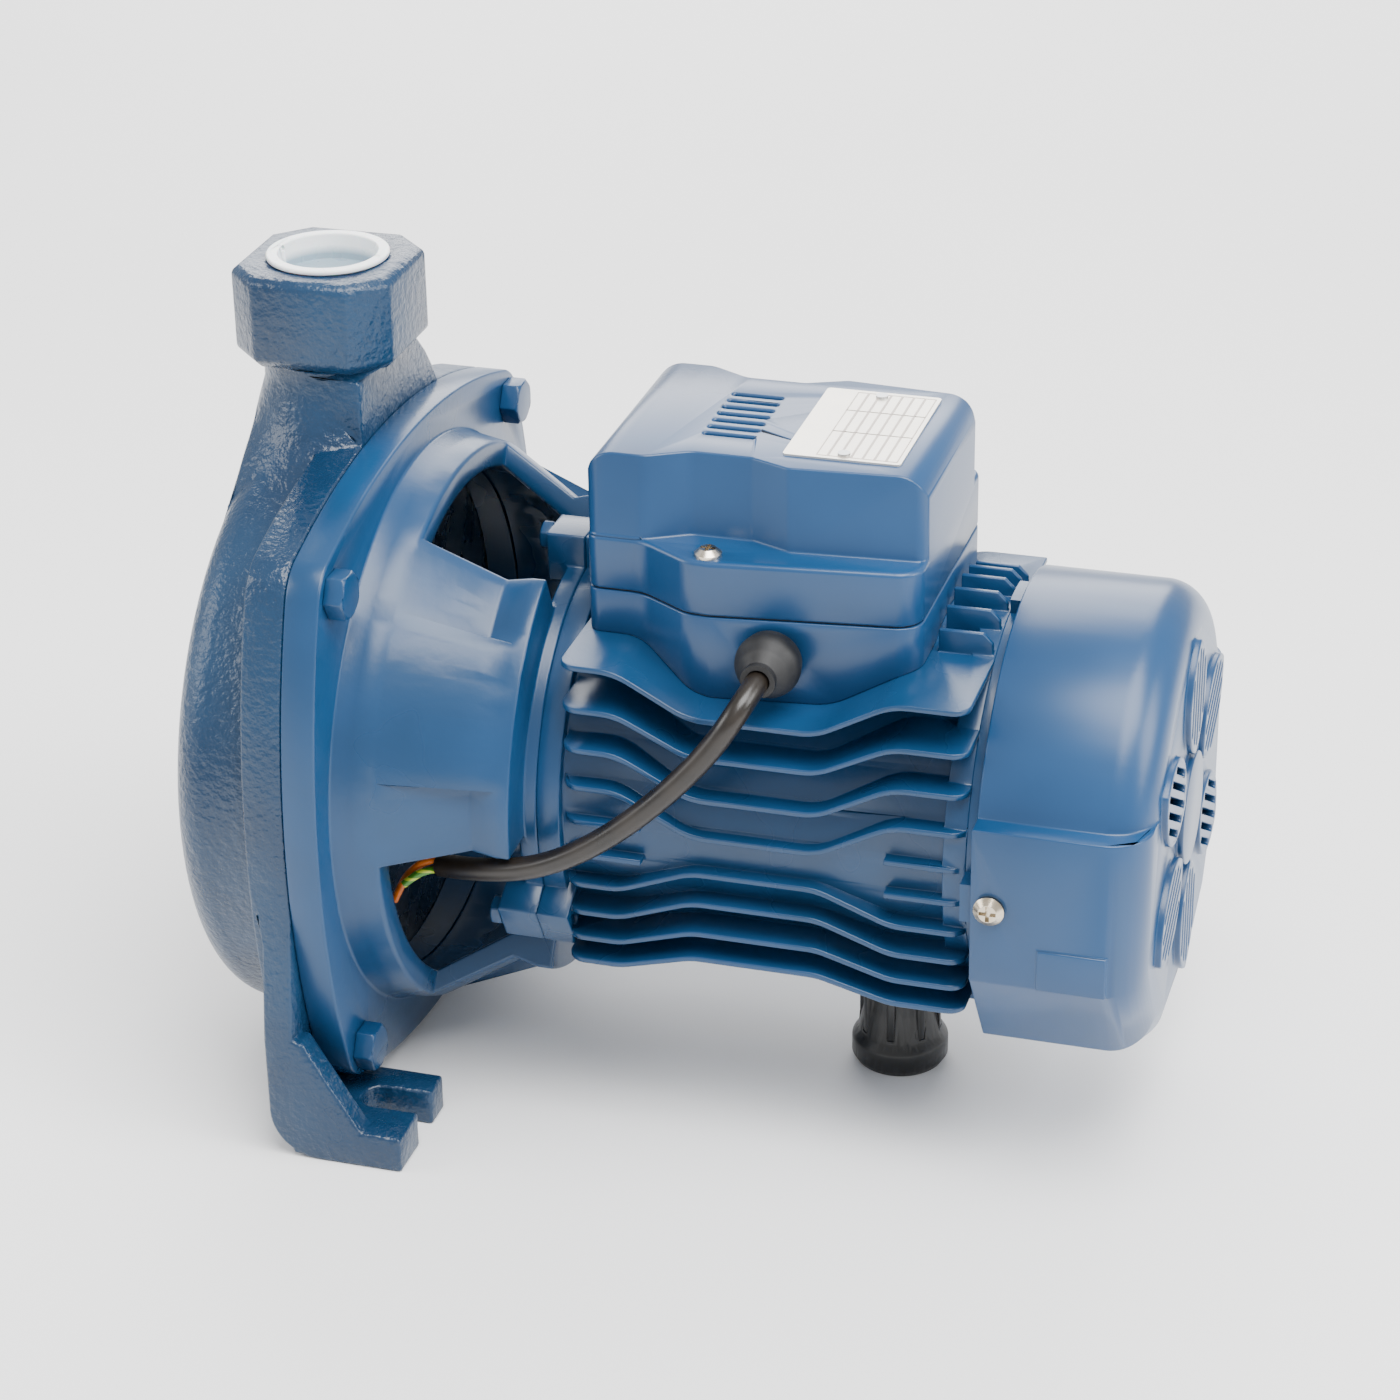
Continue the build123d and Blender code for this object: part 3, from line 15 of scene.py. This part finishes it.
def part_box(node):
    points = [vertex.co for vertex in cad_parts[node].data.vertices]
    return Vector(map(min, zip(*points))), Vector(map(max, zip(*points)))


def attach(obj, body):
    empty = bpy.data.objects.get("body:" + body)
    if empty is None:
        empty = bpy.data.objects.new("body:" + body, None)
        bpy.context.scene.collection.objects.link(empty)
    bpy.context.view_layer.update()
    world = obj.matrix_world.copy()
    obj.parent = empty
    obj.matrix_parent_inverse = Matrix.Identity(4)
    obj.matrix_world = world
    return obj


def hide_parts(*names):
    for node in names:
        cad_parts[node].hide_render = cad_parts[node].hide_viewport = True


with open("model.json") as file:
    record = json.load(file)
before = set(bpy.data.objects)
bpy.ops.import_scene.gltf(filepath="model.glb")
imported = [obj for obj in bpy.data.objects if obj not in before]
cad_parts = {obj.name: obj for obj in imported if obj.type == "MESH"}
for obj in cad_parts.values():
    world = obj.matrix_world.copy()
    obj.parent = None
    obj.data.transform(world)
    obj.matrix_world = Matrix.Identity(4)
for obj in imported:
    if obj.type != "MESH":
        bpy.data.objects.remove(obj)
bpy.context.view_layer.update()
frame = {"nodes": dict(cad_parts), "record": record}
nodes = frame["nodes"]
MM = 0.001
SHAFT_HEIGHT = 100 * MM
PORT_X = -110.5 * MM           # the discharge port's axis; the other stations count from here

# %% [markdown]
# ## The camera
# A long lens from a little above the shaft and in front of the motor's near side shows the open
# bracket, the fins, the terminal box and the fan cover at once. The camera is aimed at one point
# inside the pump and then tilted by a degree about its own line of sight. A Track To constraint
# would aim it but can't tilt it, so its three axes are worked out and given as a rotation.

# %% Aim the camera
AZIMUTH, ELEVATION, ROLL = (math.radians(angle) for angle in (17.03, 26.79, 0.99))
LOOK_AT = Vector((2.0, 0.0, 115.84)) * MM
DISTANCE = 1113.2 * MM
LENS, SENSOR = 94.3, 36        # mm, as on a full-frame camera

forward = Vector((-math.sin(AZIMUTH) * math.cos(ELEVATION),
                  math.cos(AZIMUTH) * math.cos(ELEVATION),
                  -math.sin(ELEVATION)))
level = Vector((math.cos(AZIMUTH), math.sin(AZIMUTH), 0))
upward = level.cross(forward)
right = math.cos(ROLL) * level - math.sin(ROLL) * upward
top = math.sin(ROLL) * level + math.cos(ROLL) * upward
turn = Matrix((right, top, -forward)).transposed()

bpy.ops.object.camera_add(location=LOOK_AT - forward * DISTANCE, rotation=turn.to_euler())
camera = bpy.context.object
camera.name = "camera"
camera.data.lens = LENS
camera.data.sensor_width = SENSOR
camera.data.clip_start = 0.05
bpy.context.scene.camera = camera
print("camera stands at", [round(v, 3) for v in camera.location])

# %% [markdown]
# ## Colours and nodes
# Colours are written as the hex values that a paint chart shows. Shaders add light in linear
# units, so one function converts them. A second small function adds a node and fills or links
# its sockets, and a third builds on it: nearly every finish here is a colour that drifts a little,
# a roughness that drifts with it, and one or two sizes of relief, so that recipe is written once.

# %% Helpers for materials
def linear(hex_colour):
    """A hex sRGB colour as the linear RGBA that shaders use."""
    channels = [int(hex_colour[i:i + 2], 16) / 255 for i in (1, 3, 5)]
    return tuple(c / 12.92 if c <= 0.04045 else ((c + 0.055) / 1.055) ** 2.4 for c in channels) + (1.0,)


def add_node(material, kind, sockets=None, stops=(), **settings):
    """Add a node; a socket takes a number, a colour or an output to link from.

    Stops fill the two ends of a colour ramp, each as a position and a hex colour.
    """
    node = material.node_tree.nodes.new(kind)
    for name, value in settings.items():
        setattr(node, name, value)
    for name, value in (sockets or {}).items():
        if isinstance(value, bpy.types.NodeSocket):
            material.node_tree.links.new(value, node.inputs[name])
        else:
            node.inputs[name].default_value = value
    for element, (position, hex_colour) in zip(node.color_ramp.elements if stops else (), stops):
        element.position = position
        element.color = linear(hex_colour)
    return node


def finish(name, dark, light, roughness, relief, cloud=20, stretch=(1, 1, 1), **shader_settings):
    """A finish whose colour and roughness drift over clouds of so many mm between two hex colours.

    Each entry of relief is (size in mm, depth in mm, strength) of one layer of bumps, coarse first.
    """
    material = bpy.data.materials.new(name)
    material.use_nodes = True
    material.node_tree.nodes.clear()
    place = add_node(material, "ShaderNodeTexCoord").outputs["Object"]
    marks = add_node(material, "ShaderNodeMapping", {"Vector": place, "Scale": stretch}).outputs["Vector"]
    drift = add_node(material, "ShaderNodeTexNoise",
                     {"Vector": place, "Scale": 1 / (cloud * MM), "Detail": 3.0}).outputs["Fac"]
    sockets = {key.replace("_", " "): value for key, value in shader_settings.items()}
    sockets["Base Color"] = add_node(material, "ShaderNodeValToRGB", {"Fac": drift},
                                     stops=((0.35, dark), (0.65, light))).outputs["Color"]
    smoothest, roughest = roughness
    drift_range = {"Value": drift, "From Min": 0.3, "From Max": 0.7, "To Min": smoothest, "To Max": roughest}
    sockets["Roughness"] = add_node(material, "ShaderNodeMapRange", drift_range).outputs["Result"]
    for size, depth, strength in relief:
        bumps = add_node(material, "ShaderNodeTexNoise",
                         {"Vector": marks, "Scale": 1 / (size * MM), "Detail": 2.0}).outputs["Fac"]
        layer = {"Strength": strength, "Distance": depth * MM, "Height": bumps}
        if "Normal" in sockets:
            layer["Normal"] = sockets["Normal"]
        sockets["Normal"] = add_node(material, "ShaderNodeBump", layer).outputs["Normal"]
    shader = add_node(material, "ShaderNodeBsdfPrincipled", sockets)
    add_node(material, "ShaderNodeOutputMaterial", {"Surface": shader.outputs["BSDF"]})
    return material


print("white in linear light:", linear("#ffffff"))

# %% [markdown]
# ## The power cable
# The pump is shipped with a short bare tail for an electrician to join: the black sheath comes
# straight out of the gland, drops beside the box, sags along the fins and ends in the bracket
# window, with its three conductors showing. A chain of straight pieces and bends would look like
# bent wire, so it is one smooth curve, with the corners of the route as its control points.

# %% Route the cable
CABLE_RADIUS = 3.5 * MM
cable_route = [(148.5, -52.0, 56.5), (148.5, -72.5, 56.5), (136.0, -75.5, 36.0), (113.0, -75.5, 12.0),
               (90.0, -73.0, -5.0), (68.0, -69.0, -13.0), (50.0, -62.0, -17.0)]


def from_port(point):
    """A point given from the discharge axis and the shaft line, in the pump's own frame."""
    x, y, z = point
    return Vector((x, y, z)) * MM + Vector((PORT_X, 0, SHAFT_HEIGHT))


def smooth_line(name, route, radius):
    """An open NURBS curve with the route as its control points, as thick as its radius."""
    curve = bpy.data.curves.new(name, "CURVE")
    curve.dimensions = "3D"
    spline = curve.splines.new("NURBS")
    spline.points.add(len(route) - 1)
    for control, point in zip(spline.points, route):
        control.co = (*from_port(point), 1.0)
    spline.order_u = 3
    spline.use_endpoint_u = True
    curve.resolution_u = 16
    curve.bevel_depth = radius
    curve.bevel_resolution = 6
    curve.use_fill_caps = True
    return curve


def mesh_of(curve):
    """The mesh that a curve makes, as new mesh data; with no bevel it is the bare line."""
    holder = bpy.data.objects.new("holder", curve)
    mesh = bpy.data.meshes.new_from_object(holder)
    bpy.data.objects.remove(holder)
    return mesh


middle_line = mesh_of(smooth_line("cable_line", cable_route, 0.0))
sheath = mesh_of(smooth_line("cable_tube", cable_route, CABLE_RADIUS))
cable = bpy.data.objects.new("power_cable_sheath", sheath)
bpy.context.scene.collection.objects.link(cable)
cable.data.shade_smooth()
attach(cable, "pump")
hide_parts("power_cable")
print("points on the cable's line:", len(middle_line.vertices))

# %% [markdown]
# ## Edges that catch the light
# A drawing has knife edges, but sand, dies and moulds all leave a small radius, and paint rounds it
# further. That thin bright line along every edge is most of what makes a casting look real. Each
# big shell is copied, its loose triangles are merged into whole faces, and a Bevel modifier rounds
# the edges by the radius its process leaves: about a millimetre in sand-cast iron and about half
# of that in a die or a mould. Where small faces crowd together a bevel can overshoot, so any
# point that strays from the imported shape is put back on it.

# %% Round the edges of the big shells
from mathutils.bvhtree import BVHTree

slot_of = {part["node"]: part["material_slot"] for part in frame["record"]["subparts"]}
bodies = frame["record"]["behaviour"]["bodies"]
body_of = {node: body for body, members in bodies.items() for node in members}
SAME_POINT = 0.02 * MM                 # triangle corners closer than this are one point
SAME_FACE = math.radians(0.6)          # triangles that turn by less than this are one face
SHARP = math.radians(32)               # an edge that turns by more than this is rounded
SMOOTH = math.radians(35)              # faces that turn by less than this are shaded as one
STRAY = 0.6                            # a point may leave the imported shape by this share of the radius


def pull_back(piece, packed, reach):
    """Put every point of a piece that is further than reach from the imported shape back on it."""
    corners = [vertex.co for vertex in packed.vertices]
    surface = BVHTree.FromPolygons(corners, [tuple(face.vertices) for face in packed.polygons])
    for vertex in piece.vertices:
        nearest, _, _, distance = surface.find_nearest(vertex.co)
        if distance > reach:
            vertex.co = nearest


def soft_edged(name, radius):
    """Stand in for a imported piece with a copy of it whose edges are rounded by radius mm."""
    packed = nodes[name].data
    piece = bpy.data.objects.new(name + "_finished", packed.copy())
    bpy.context.scene.collection.objects.link(piece)
    bpy.ops.object.select_all(action="DESELECT")
    bpy.context.view_layer.objects.active = piece
    piece.select_set(True)
    bpy.ops.object.mode_set(mode="EDIT")
    bpy.ops.mesh.select_all(action="SELECT")
    bpy.ops.mesh.remove_doubles(threshold=SAME_POINT)
    bpy.ops.mesh.dissolve_limited(angle_limit=SAME_FACE)
    bpy.ops.object.mode_set(mode="OBJECT")
    rounding = piece.modifiers.new("rounding", "BEVEL")
    rounding.width = radius * MM
    rounding.segments = 2
    rounding.limit_method = "ANGLE"
    rounding.angle_limit = SHARP
    rounding.use_clamp_overlap = False
    bpy.ops.object.modifier_apply(modifier=rounding.name)
    pull_back(piece.data, packed, STRAY * radius * MM)
    bpy.ops.object.shade_smooth_by_angle(angle=SMOOTH)
    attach(piece, body_of[name])
    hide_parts(name)
    return piece


edge_radius = {"pump_casing": 1.0, "motor_bracket": 0.8, "motor_housing": 0.4, "terminal_box_lid": 0.7,
               "terminal_box_base": 0.5, "fan_cover": 0.5, "casing_bolts": 0.4, "motor_bolts": 0.4,
               "discharge_plug": 0.25, "support_foot": 0.5}
rounded = {name: soft_edged(name, radius) for name, radius in edge_radius.items()}
print("rounded:", {name: len(piece.data.polygons) for name, piece in rounded.items()})

# %% [markdown]
# ## Blue paint on grey iron
# The casing is cast in a sand mould, so its skin is a field of soft lumps a few sand grains
# across, under a thick coat of alkyd enamel. The paint fills the smallest pits and stays glossy
# on the lumps, which is why a raking light breaks into bright flecks. Two sizes of lumps make
# the skin, at 2.6 mm and 1.2 mm.

# %% Enamel on sand-cast iron
cast_iron_paint = finish("alkyd_enamel_on_sand_cast_iron", "#0b2a46", "#113655", (0.24, 0.36),
                         [(2.6, 0.55, 1.0), (1.2, 0.24, 0.8)], cloud=45, IOR=1.5)
print("made:", cast_iron_paint.name)

# %% [markdown]
# ## Blue paint on die-cast aluminium
# The bracket and the motor housing come from steel dies, so the metal is smooth and only the
# sprayed paint has a texture: a faint orange peel, two or three millimetres across. The coat is
# satin and the same blue as the casing's.

# %% Satin enamel on die-cast aluminium
die_cast_paint = finish("satin_enamel_on_die_cast_aluminium", "#0d3557", "#123e66", (0.24, 0.34),
                        [(2.6, 0.12, 0.35), (0.8, 0.03, 0.2)], cloud=60, IOR=1.5)
print("made:", die_cast_paint.name)

# %% [markdown]
# ## Blue moulded plastic
# The terminal box and the fan cover are ABS, coloured all through and a shade lighter than the
# paint. A moulded skin has no orange peel, only a fine spark-eroded grain left by the tool. The
# grain of the real tool is under a tenth of a millimetre, so here it is drawn at half a
# millimetre to show at all.

# %% ABS with a spark-eroded grain
blue_abs = finish("moulded_abs_blue", "#12395f", "#17426c", (0.26, 0.33), [(0.5, 0.04, 0.2)], cloud=80,
                  IOR=1.53)
print("made:", blue_abs.name)

# %% [markdown]
# ## Metals
# Each metal starts from its own reflectance: zinc plate is warm and slightly cloudy, stainless
# steel is neutral with fine drawn lines, turned brass is yellow, and die-cast aluminium is pale
# and a little rough. What separates them at this size is the mark of the tool that made them,
# so the relief is stretched along the way the tool moved.

# %% Plated, turned, drawn and cast metals
ALONG_SHAFT = (0.04, 1, 1)             # a small share draws the marks out along that axis
AROUND_SHAFT = (1, 0.05, 0.05)
IN_THE_SHEET = (1, 0.04, 0.04)         # laminations lie across the shaft
ALONG_THE_WIRE = (1, 0.15, 1)
ACROSS_THE_PLATE = (1, 0.05, 1)
zinc = finish("yellowish_zinc_plated_steel", "#b9ab93", "#d8cfc0", (0.2, 0.3), [(1.2, 0.03, 0.3)], 6,
              Metallic=1.0)
stainless = finish("pressed_stainless_steel", "#b4b4b2", "#c9c9c7", (0.22, 0.34), [(0.5, 0.02, 0.3)], 9,
                   ALONG_SHAFT, Metallic=1.0)
ground_steel = finish("ground_bearing_steel", "#a2a3a5", "#b9babb", (0.18, 0.27), [(0.4, 0.01, 0.3)], 9,
                      AROUND_SHAFT, Metallic=1.0)
polished_balls = finish("lapped_bearing_balls", "#d0d1d4", "#dcdde0", (0.06, 0.1), [(0.6, 0.004, 0.3)], 9,
                        Metallic=1.0)
turned_brass = finish("turned_free_cutting_brass", "#b98a42", "#d2a75c", (0.2, 0.32), [(0.5, 0.02, 0.3)], 9,
                      Metallic=1.0)
lamination = finish("varnished_electrical_sheet", "#4c4d50", "#6a6a6c", (0.34, 0.5), [(0.5, 0.08, 0.4)], 9,
                    IN_THE_SHEET, Metallic=1.0)
cast_aluminium = finish("die_cast_aluminium", "#b3b5b7", "#c9cbcd", (0.3, 0.45), [(0.8, 0.05, 0.3)], 9,
                        Metallic=1.0)
winding_copper = finish("varnished_winding_wire", "#7d3615", "#b4602c", (0.24, 0.36), [(0.9, 0.35, 0.5)], 6,
                        ALONG_THE_WIRE, Metallic=1.0)
plate_metal = finish("satin_anodised_aluminium", "#dcd7cd", "#e9e4da", (0.28, 0.4), [(0.5, 0.01, 0.3)], 14,
                     ACROSS_THE_PLATE, Metallic=0.6)
print("finishes made so far:", len(bpy.data.materials))

# %% [markdown]
# ## Rubber, plastics and ceramic
# The dull black pieces are moulded rubber, with a dusty bloom that lifts the roughness in patches.
# The cable's sheath is PVC: smoother, so it carries a long soft highlight.

# %% Moulded and extruded pieces
black_rubber = finish("moulded_nitrile_rubber", "#111112", "#1c1c1d", (0.46, 0.64), [(0.6, 0.08, 0.3)], 8)
cable_sheath = finish("extruded_pvc_sheath", "#17130f", "#241e18", (0.26, 0.38), [(1.5, 0.06, 0.3)], 10)
black_plastic = finish("moulded_black_polyamide", "#121314", "#1b1c1d", (0.32, 0.44), [(0.6, 0.04, 0.3)], 12)
ceramic = finish("lapped_alumina_ceramic", "#e4dcc9", "#efe9da", (0.14, 0.22), [(0.5, 0.01, 0.3)], 9)
capacitor_can = finish("moulded_capacitor_can", "#cfcabc", "#dcd8cc", (0.34, 0.46), [(0.7, 0.03, 0.3)], 14)
brown_pvc = finish("orange_brown_pvc_insulation", "#b2560f", "#d06a17", (0.28, 0.4), [(0.7, 0.02, 0.3)], 4)
blue_pvc = finish("blue_pvc_insulation", "#1c4890", "#2456a8", (0.28, 0.4), [(0.7, 0.02, 0.3)], 4)
print("finishes made so far:", len(bpy.data.materials))

# %% [markdown]
# ## Colour by height
# Two pieces change colour with height. The shipping plug's cup is thin white polyethylene, painted grey
# below its rim as painted shade, darker towards the bottom. Earth insulation is extruded in green with a
# yellow stripe, and as that wire leaves the cable nearly level, a stripe is a band of height about a
# millimetre wide. Both keep the finish they have and take a new input for its colour ramp.

# %% Cup with painted shade, and striped insulation
def first_node(material, kind):
    """The first node of one kind in a material."""
    return next(node for node in material.node_tree.nodes if node.bl_idname == kind)


CUP_LOW, CUP_HIGH = (corner.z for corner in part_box("discharge_plug"))
RIM = 0.4 * MM                         # all of the rim above this is white
# The grey end of the cup's colour ramp is painted shade, laid on darker towards the bottom.
cup_plastic = finish("polyethylene_cup_with_painted_shade", "#8fa3b0", "#f2f5f6", (0.24, 0.34),
                     [(2.0, 0.05, 0.3)], 12, IOR=1.51, Subsurface_Weight=0.2, Subsurface_Scale=1 * MM)
cup_place = first_node(cup_plastic, "ShaderNodeTexCoord").outputs["Object"]
cup_height = add_node(cup_plastic, "ShaderNodeSeparateXYZ", {"Vector": cup_place}).outputs["Z"]
# Painted shade: the ramp runs from grey at the cup's foot to white just under its rim.
cup_painted_shade = add_node(cup_plastic, "ShaderNodeMapRange",
                     {"Value": cup_height, "From Min": CUP_LOW, "From Max": CUP_HIGH - RIM})
cup_plastic.node_tree.links.new(cup_painted_shade.outputs["Result"],
                                first_node(cup_plastic, "ShaderNodeValToRGB").inputs["Fac"])

STRIPE_PITCH = 2.6 * MM
earth_pvc = finish("green_yellow_pvc_insulation", "#3f7d1c", "#bcc93c", (0.28, 0.4), [(0.7, 0.02, 0.3)], 4)
wire_place = first_node(earth_pvc, "ShaderNodeTexCoord").outputs["Object"]
wire_height = add_node(earth_pvc, "ShaderNodeSeparateXYZ", {"Vector": wire_place}).outputs["Z"]
phase = add_node(earth_pvc, "ShaderNodeMath", {0: wire_height, 1: 2 * math.pi / STRIPE_PITCH},
                 operation="MULTIPLY")
stripes = add_node(earth_pvc, "ShaderNodeMath", {0: phase.outputs["Value"]}, operation="SINE")
earth_pvc.node_tree.links.new(stripes.outputs["Value"],
                              first_node(earth_pvc, "ShaderNodeValToRGB").inputs["Fac"])
print("plug's cup from", round(CUP_LOW / MM, 1), "to", round(CUP_HIGH / MM, 1), "mm above the floor")

# %% [markdown]
# ## A finish for every piece
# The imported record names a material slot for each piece, so one table from slot to finish dresses
# all of them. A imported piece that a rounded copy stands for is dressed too, so that nothing in the
# file is left bare.

# %% Give every piece its finish
finish_of_slot = {
    "cast_blue": cast_iron_paint, "smooth_blue": die_cast_paint, "blue_plastic": blue_abs,
    "zinc_steel": zinc, "stainless": stainless, "steel": ground_steel, "ball_steel": polished_balls,
    "brass": turned_brass, "ceramic": ceramic, "black_rubber": black_rubber, "lamination": lamination,
    "cast_aluminium": cast_aluminium, "copper_winding": winding_copper, "black_plastic": black_plastic,
    "white_plastic": cup_plastic, "label": plate_metal, "cable_black": cable_sheath,
    "brown_insulation": brown_pvc, "blue_insulation": blue_pvc, "earth_insulation": earth_pvc,
    "capacitor_white": capacitor_can,
}
for name, material_slot in slot_of.items():
    for piece in (nodes[name], rounded.get(name, nodes[name])):
        piece.data.materials.clear()
        piece.data.materials.append(finish_of_slot[material_slot])
cable.data.materials.append(cable_sheath)
print("finishes in use:", len(finish_of_slot))

# %% [markdown]
# ## The data plate
# The plate is pale anodised aluminium with a printed form in faint ink: a blank head, then ruled
# rows for figures. What a maker prints in them is not part of the shape of the pump, so the rows
# stay blank. Each box of the form is one flat face, inset to leave a thin frame, and the frame
# is raised by the thickness of a coat of ink.

# %% Rule the blank form
PLATE_LOW, PLATE_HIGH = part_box("nameplate")
INK = 0.08 * MM                # thickness of the ink above the face it starts on
SUNK = 0.02 * MM               # it starts this far below the plate's face, so no gap shows
LINE = 0.35 * MM
ink = finish("screen_printed_ink", "#a89c93", "#b8ada4", (0.35, 0.45), [(0.5, 0.01, 0.2)], 6)


def ruled_box(near, far, left, right):
    """One printed box of the form; its sides are given in mm from the plate's near left corner."""
    x = [PLATE_LOW.x + value * MM for value in (near, far)]
    y = [PLATE_LOW.y + value * MM for value in (left, right)]
    bpy.ops.object.select_all(action="DESELECT")
    bpy.ops.mesh.primitive_plane_add(size=1, location=(sum(x) / 2, sum(y) / 2, PLATE_HIGH.z - SUNK))
    box = bpy.context.object
    box.scale = (x[1] - x[0], y[1] - y[0], 1)
    bpy.ops.object.transform_apply(location=True, rotation=True, scale=True)
    bpy.ops.object.mode_set(mode="EDIT")
    bpy.ops.mesh.select_all(action="SELECT")
    bpy.ops.mesh.inset(thickness=LINE, depth=0)
    bpy.ops.mesh.delete(type="FACE")
    bpy.ops.mesh.select_all(action="SELECT")
    bpy.ops.mesh.extrude_region_move(TRANSFORM_OT_translate={"value": (0, 0, INK)})
    bpy.ops.mesh.select_all(action="SELECT")
    bpy.ops.mesh.normals_make_consistent(inside=False)
    bpy.ops.object.mode_set(mode="OBJECT")
    return box


ROWS, ROW_START, ROW_HEIGHT = 7, 9.5, 3.4          # the last two in mm along the plate
COLUMNS = ((1.5, 20), (19.7, 36), (35.7, 50))      # sides of each column in mm, a line's width shared
printed_boxes = [ruled_box(ROW_START + row * ROW_HEIGHT, ROW_START + (row + 1) * ROW_HEIGHT, left, right)
                 for row in range(ROWS) for left, right in COLUMNS]
bpy.ops.object.select_all(action="DESELECT")
for box in printed_boxes:
    box.select_set(True)
bpy.context.view_layer.objects.active = printed_boxes[0]
bpy.ops.object.join()
form = printed_boxes[0]
form.name = "nameplate_form"
form.data.materials.append(ink)
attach(form, "pump")
print("form boxes:", len(printed_boxes))

# %% [markdown]
# ## Floor and light
# A large pale floor and a bright even sky give the soft shadows of a light tent. A soft box above
# and in front is the key light, and a larger one behind and above is mirrored in every surface
# that faces up, which turns the top of the box and of the cover greyish. Weaker ones at the left
# and the right draw highlights on the casing and on the cover's end.

# %% Studio
bpy.ops.mesh.primitive_plane_add(size=30, location=(0, 0, 0))
floor = bpy.context.object
floor.name = "studio_floor"
floor.data.materials.append(finish("matt_paper_floor", "#f6f6f6", "#f9f9f9", (0.85, 0.95),
                                   [(3, 0.02, 0.1)], 400))

sky = bpy.data.worlds.new("light_tent")
bpy.context.scene.world = sky
sky.use_nodes = True
background = sky.node_tree.nodes["Background"]
background.inputs["Color"].default_value = linear("#ffffff")
background.inputs["Strength"].default_value = 0.9


def soft_box(name, place, aim, size, power):
    """A square area light, size metres wide and power watts strong, that faces a point."""
    bpy.ops.object.light_add(type="AREA", location=place)
    lamp = bpy.context.object
    lamp.name = name
    lamp.data.size = size
    lamp.data.energy = power
    lamp.rotation_euler = (Vector(aim) - Vector(place)).to_track_quat("-Z", "Y").to_euler()
    return lamp


PUMP_MIDDLE = (0, 0, 0.12)
soft_box("key_soft_box", (0.35, -0.35, 1.3), PUMP_MIDDLE, 0.9, 30)
soft_box("back_soft_box", (-0.4, 1.5, 1.1), PUMP_MIDDLE, 1.5, 42)
soft_box("left_soft_box", (-1.2, -0.5, 0.7), PUMP_MIDDLE, 0.7, 8)
soft_box("right_soft_box", (1.3, -0.1, 0.8), PUMP_MIDDLE, 0.7, 13)
print("lamps:", [lamp.name for lamp in bpy.data.lights])
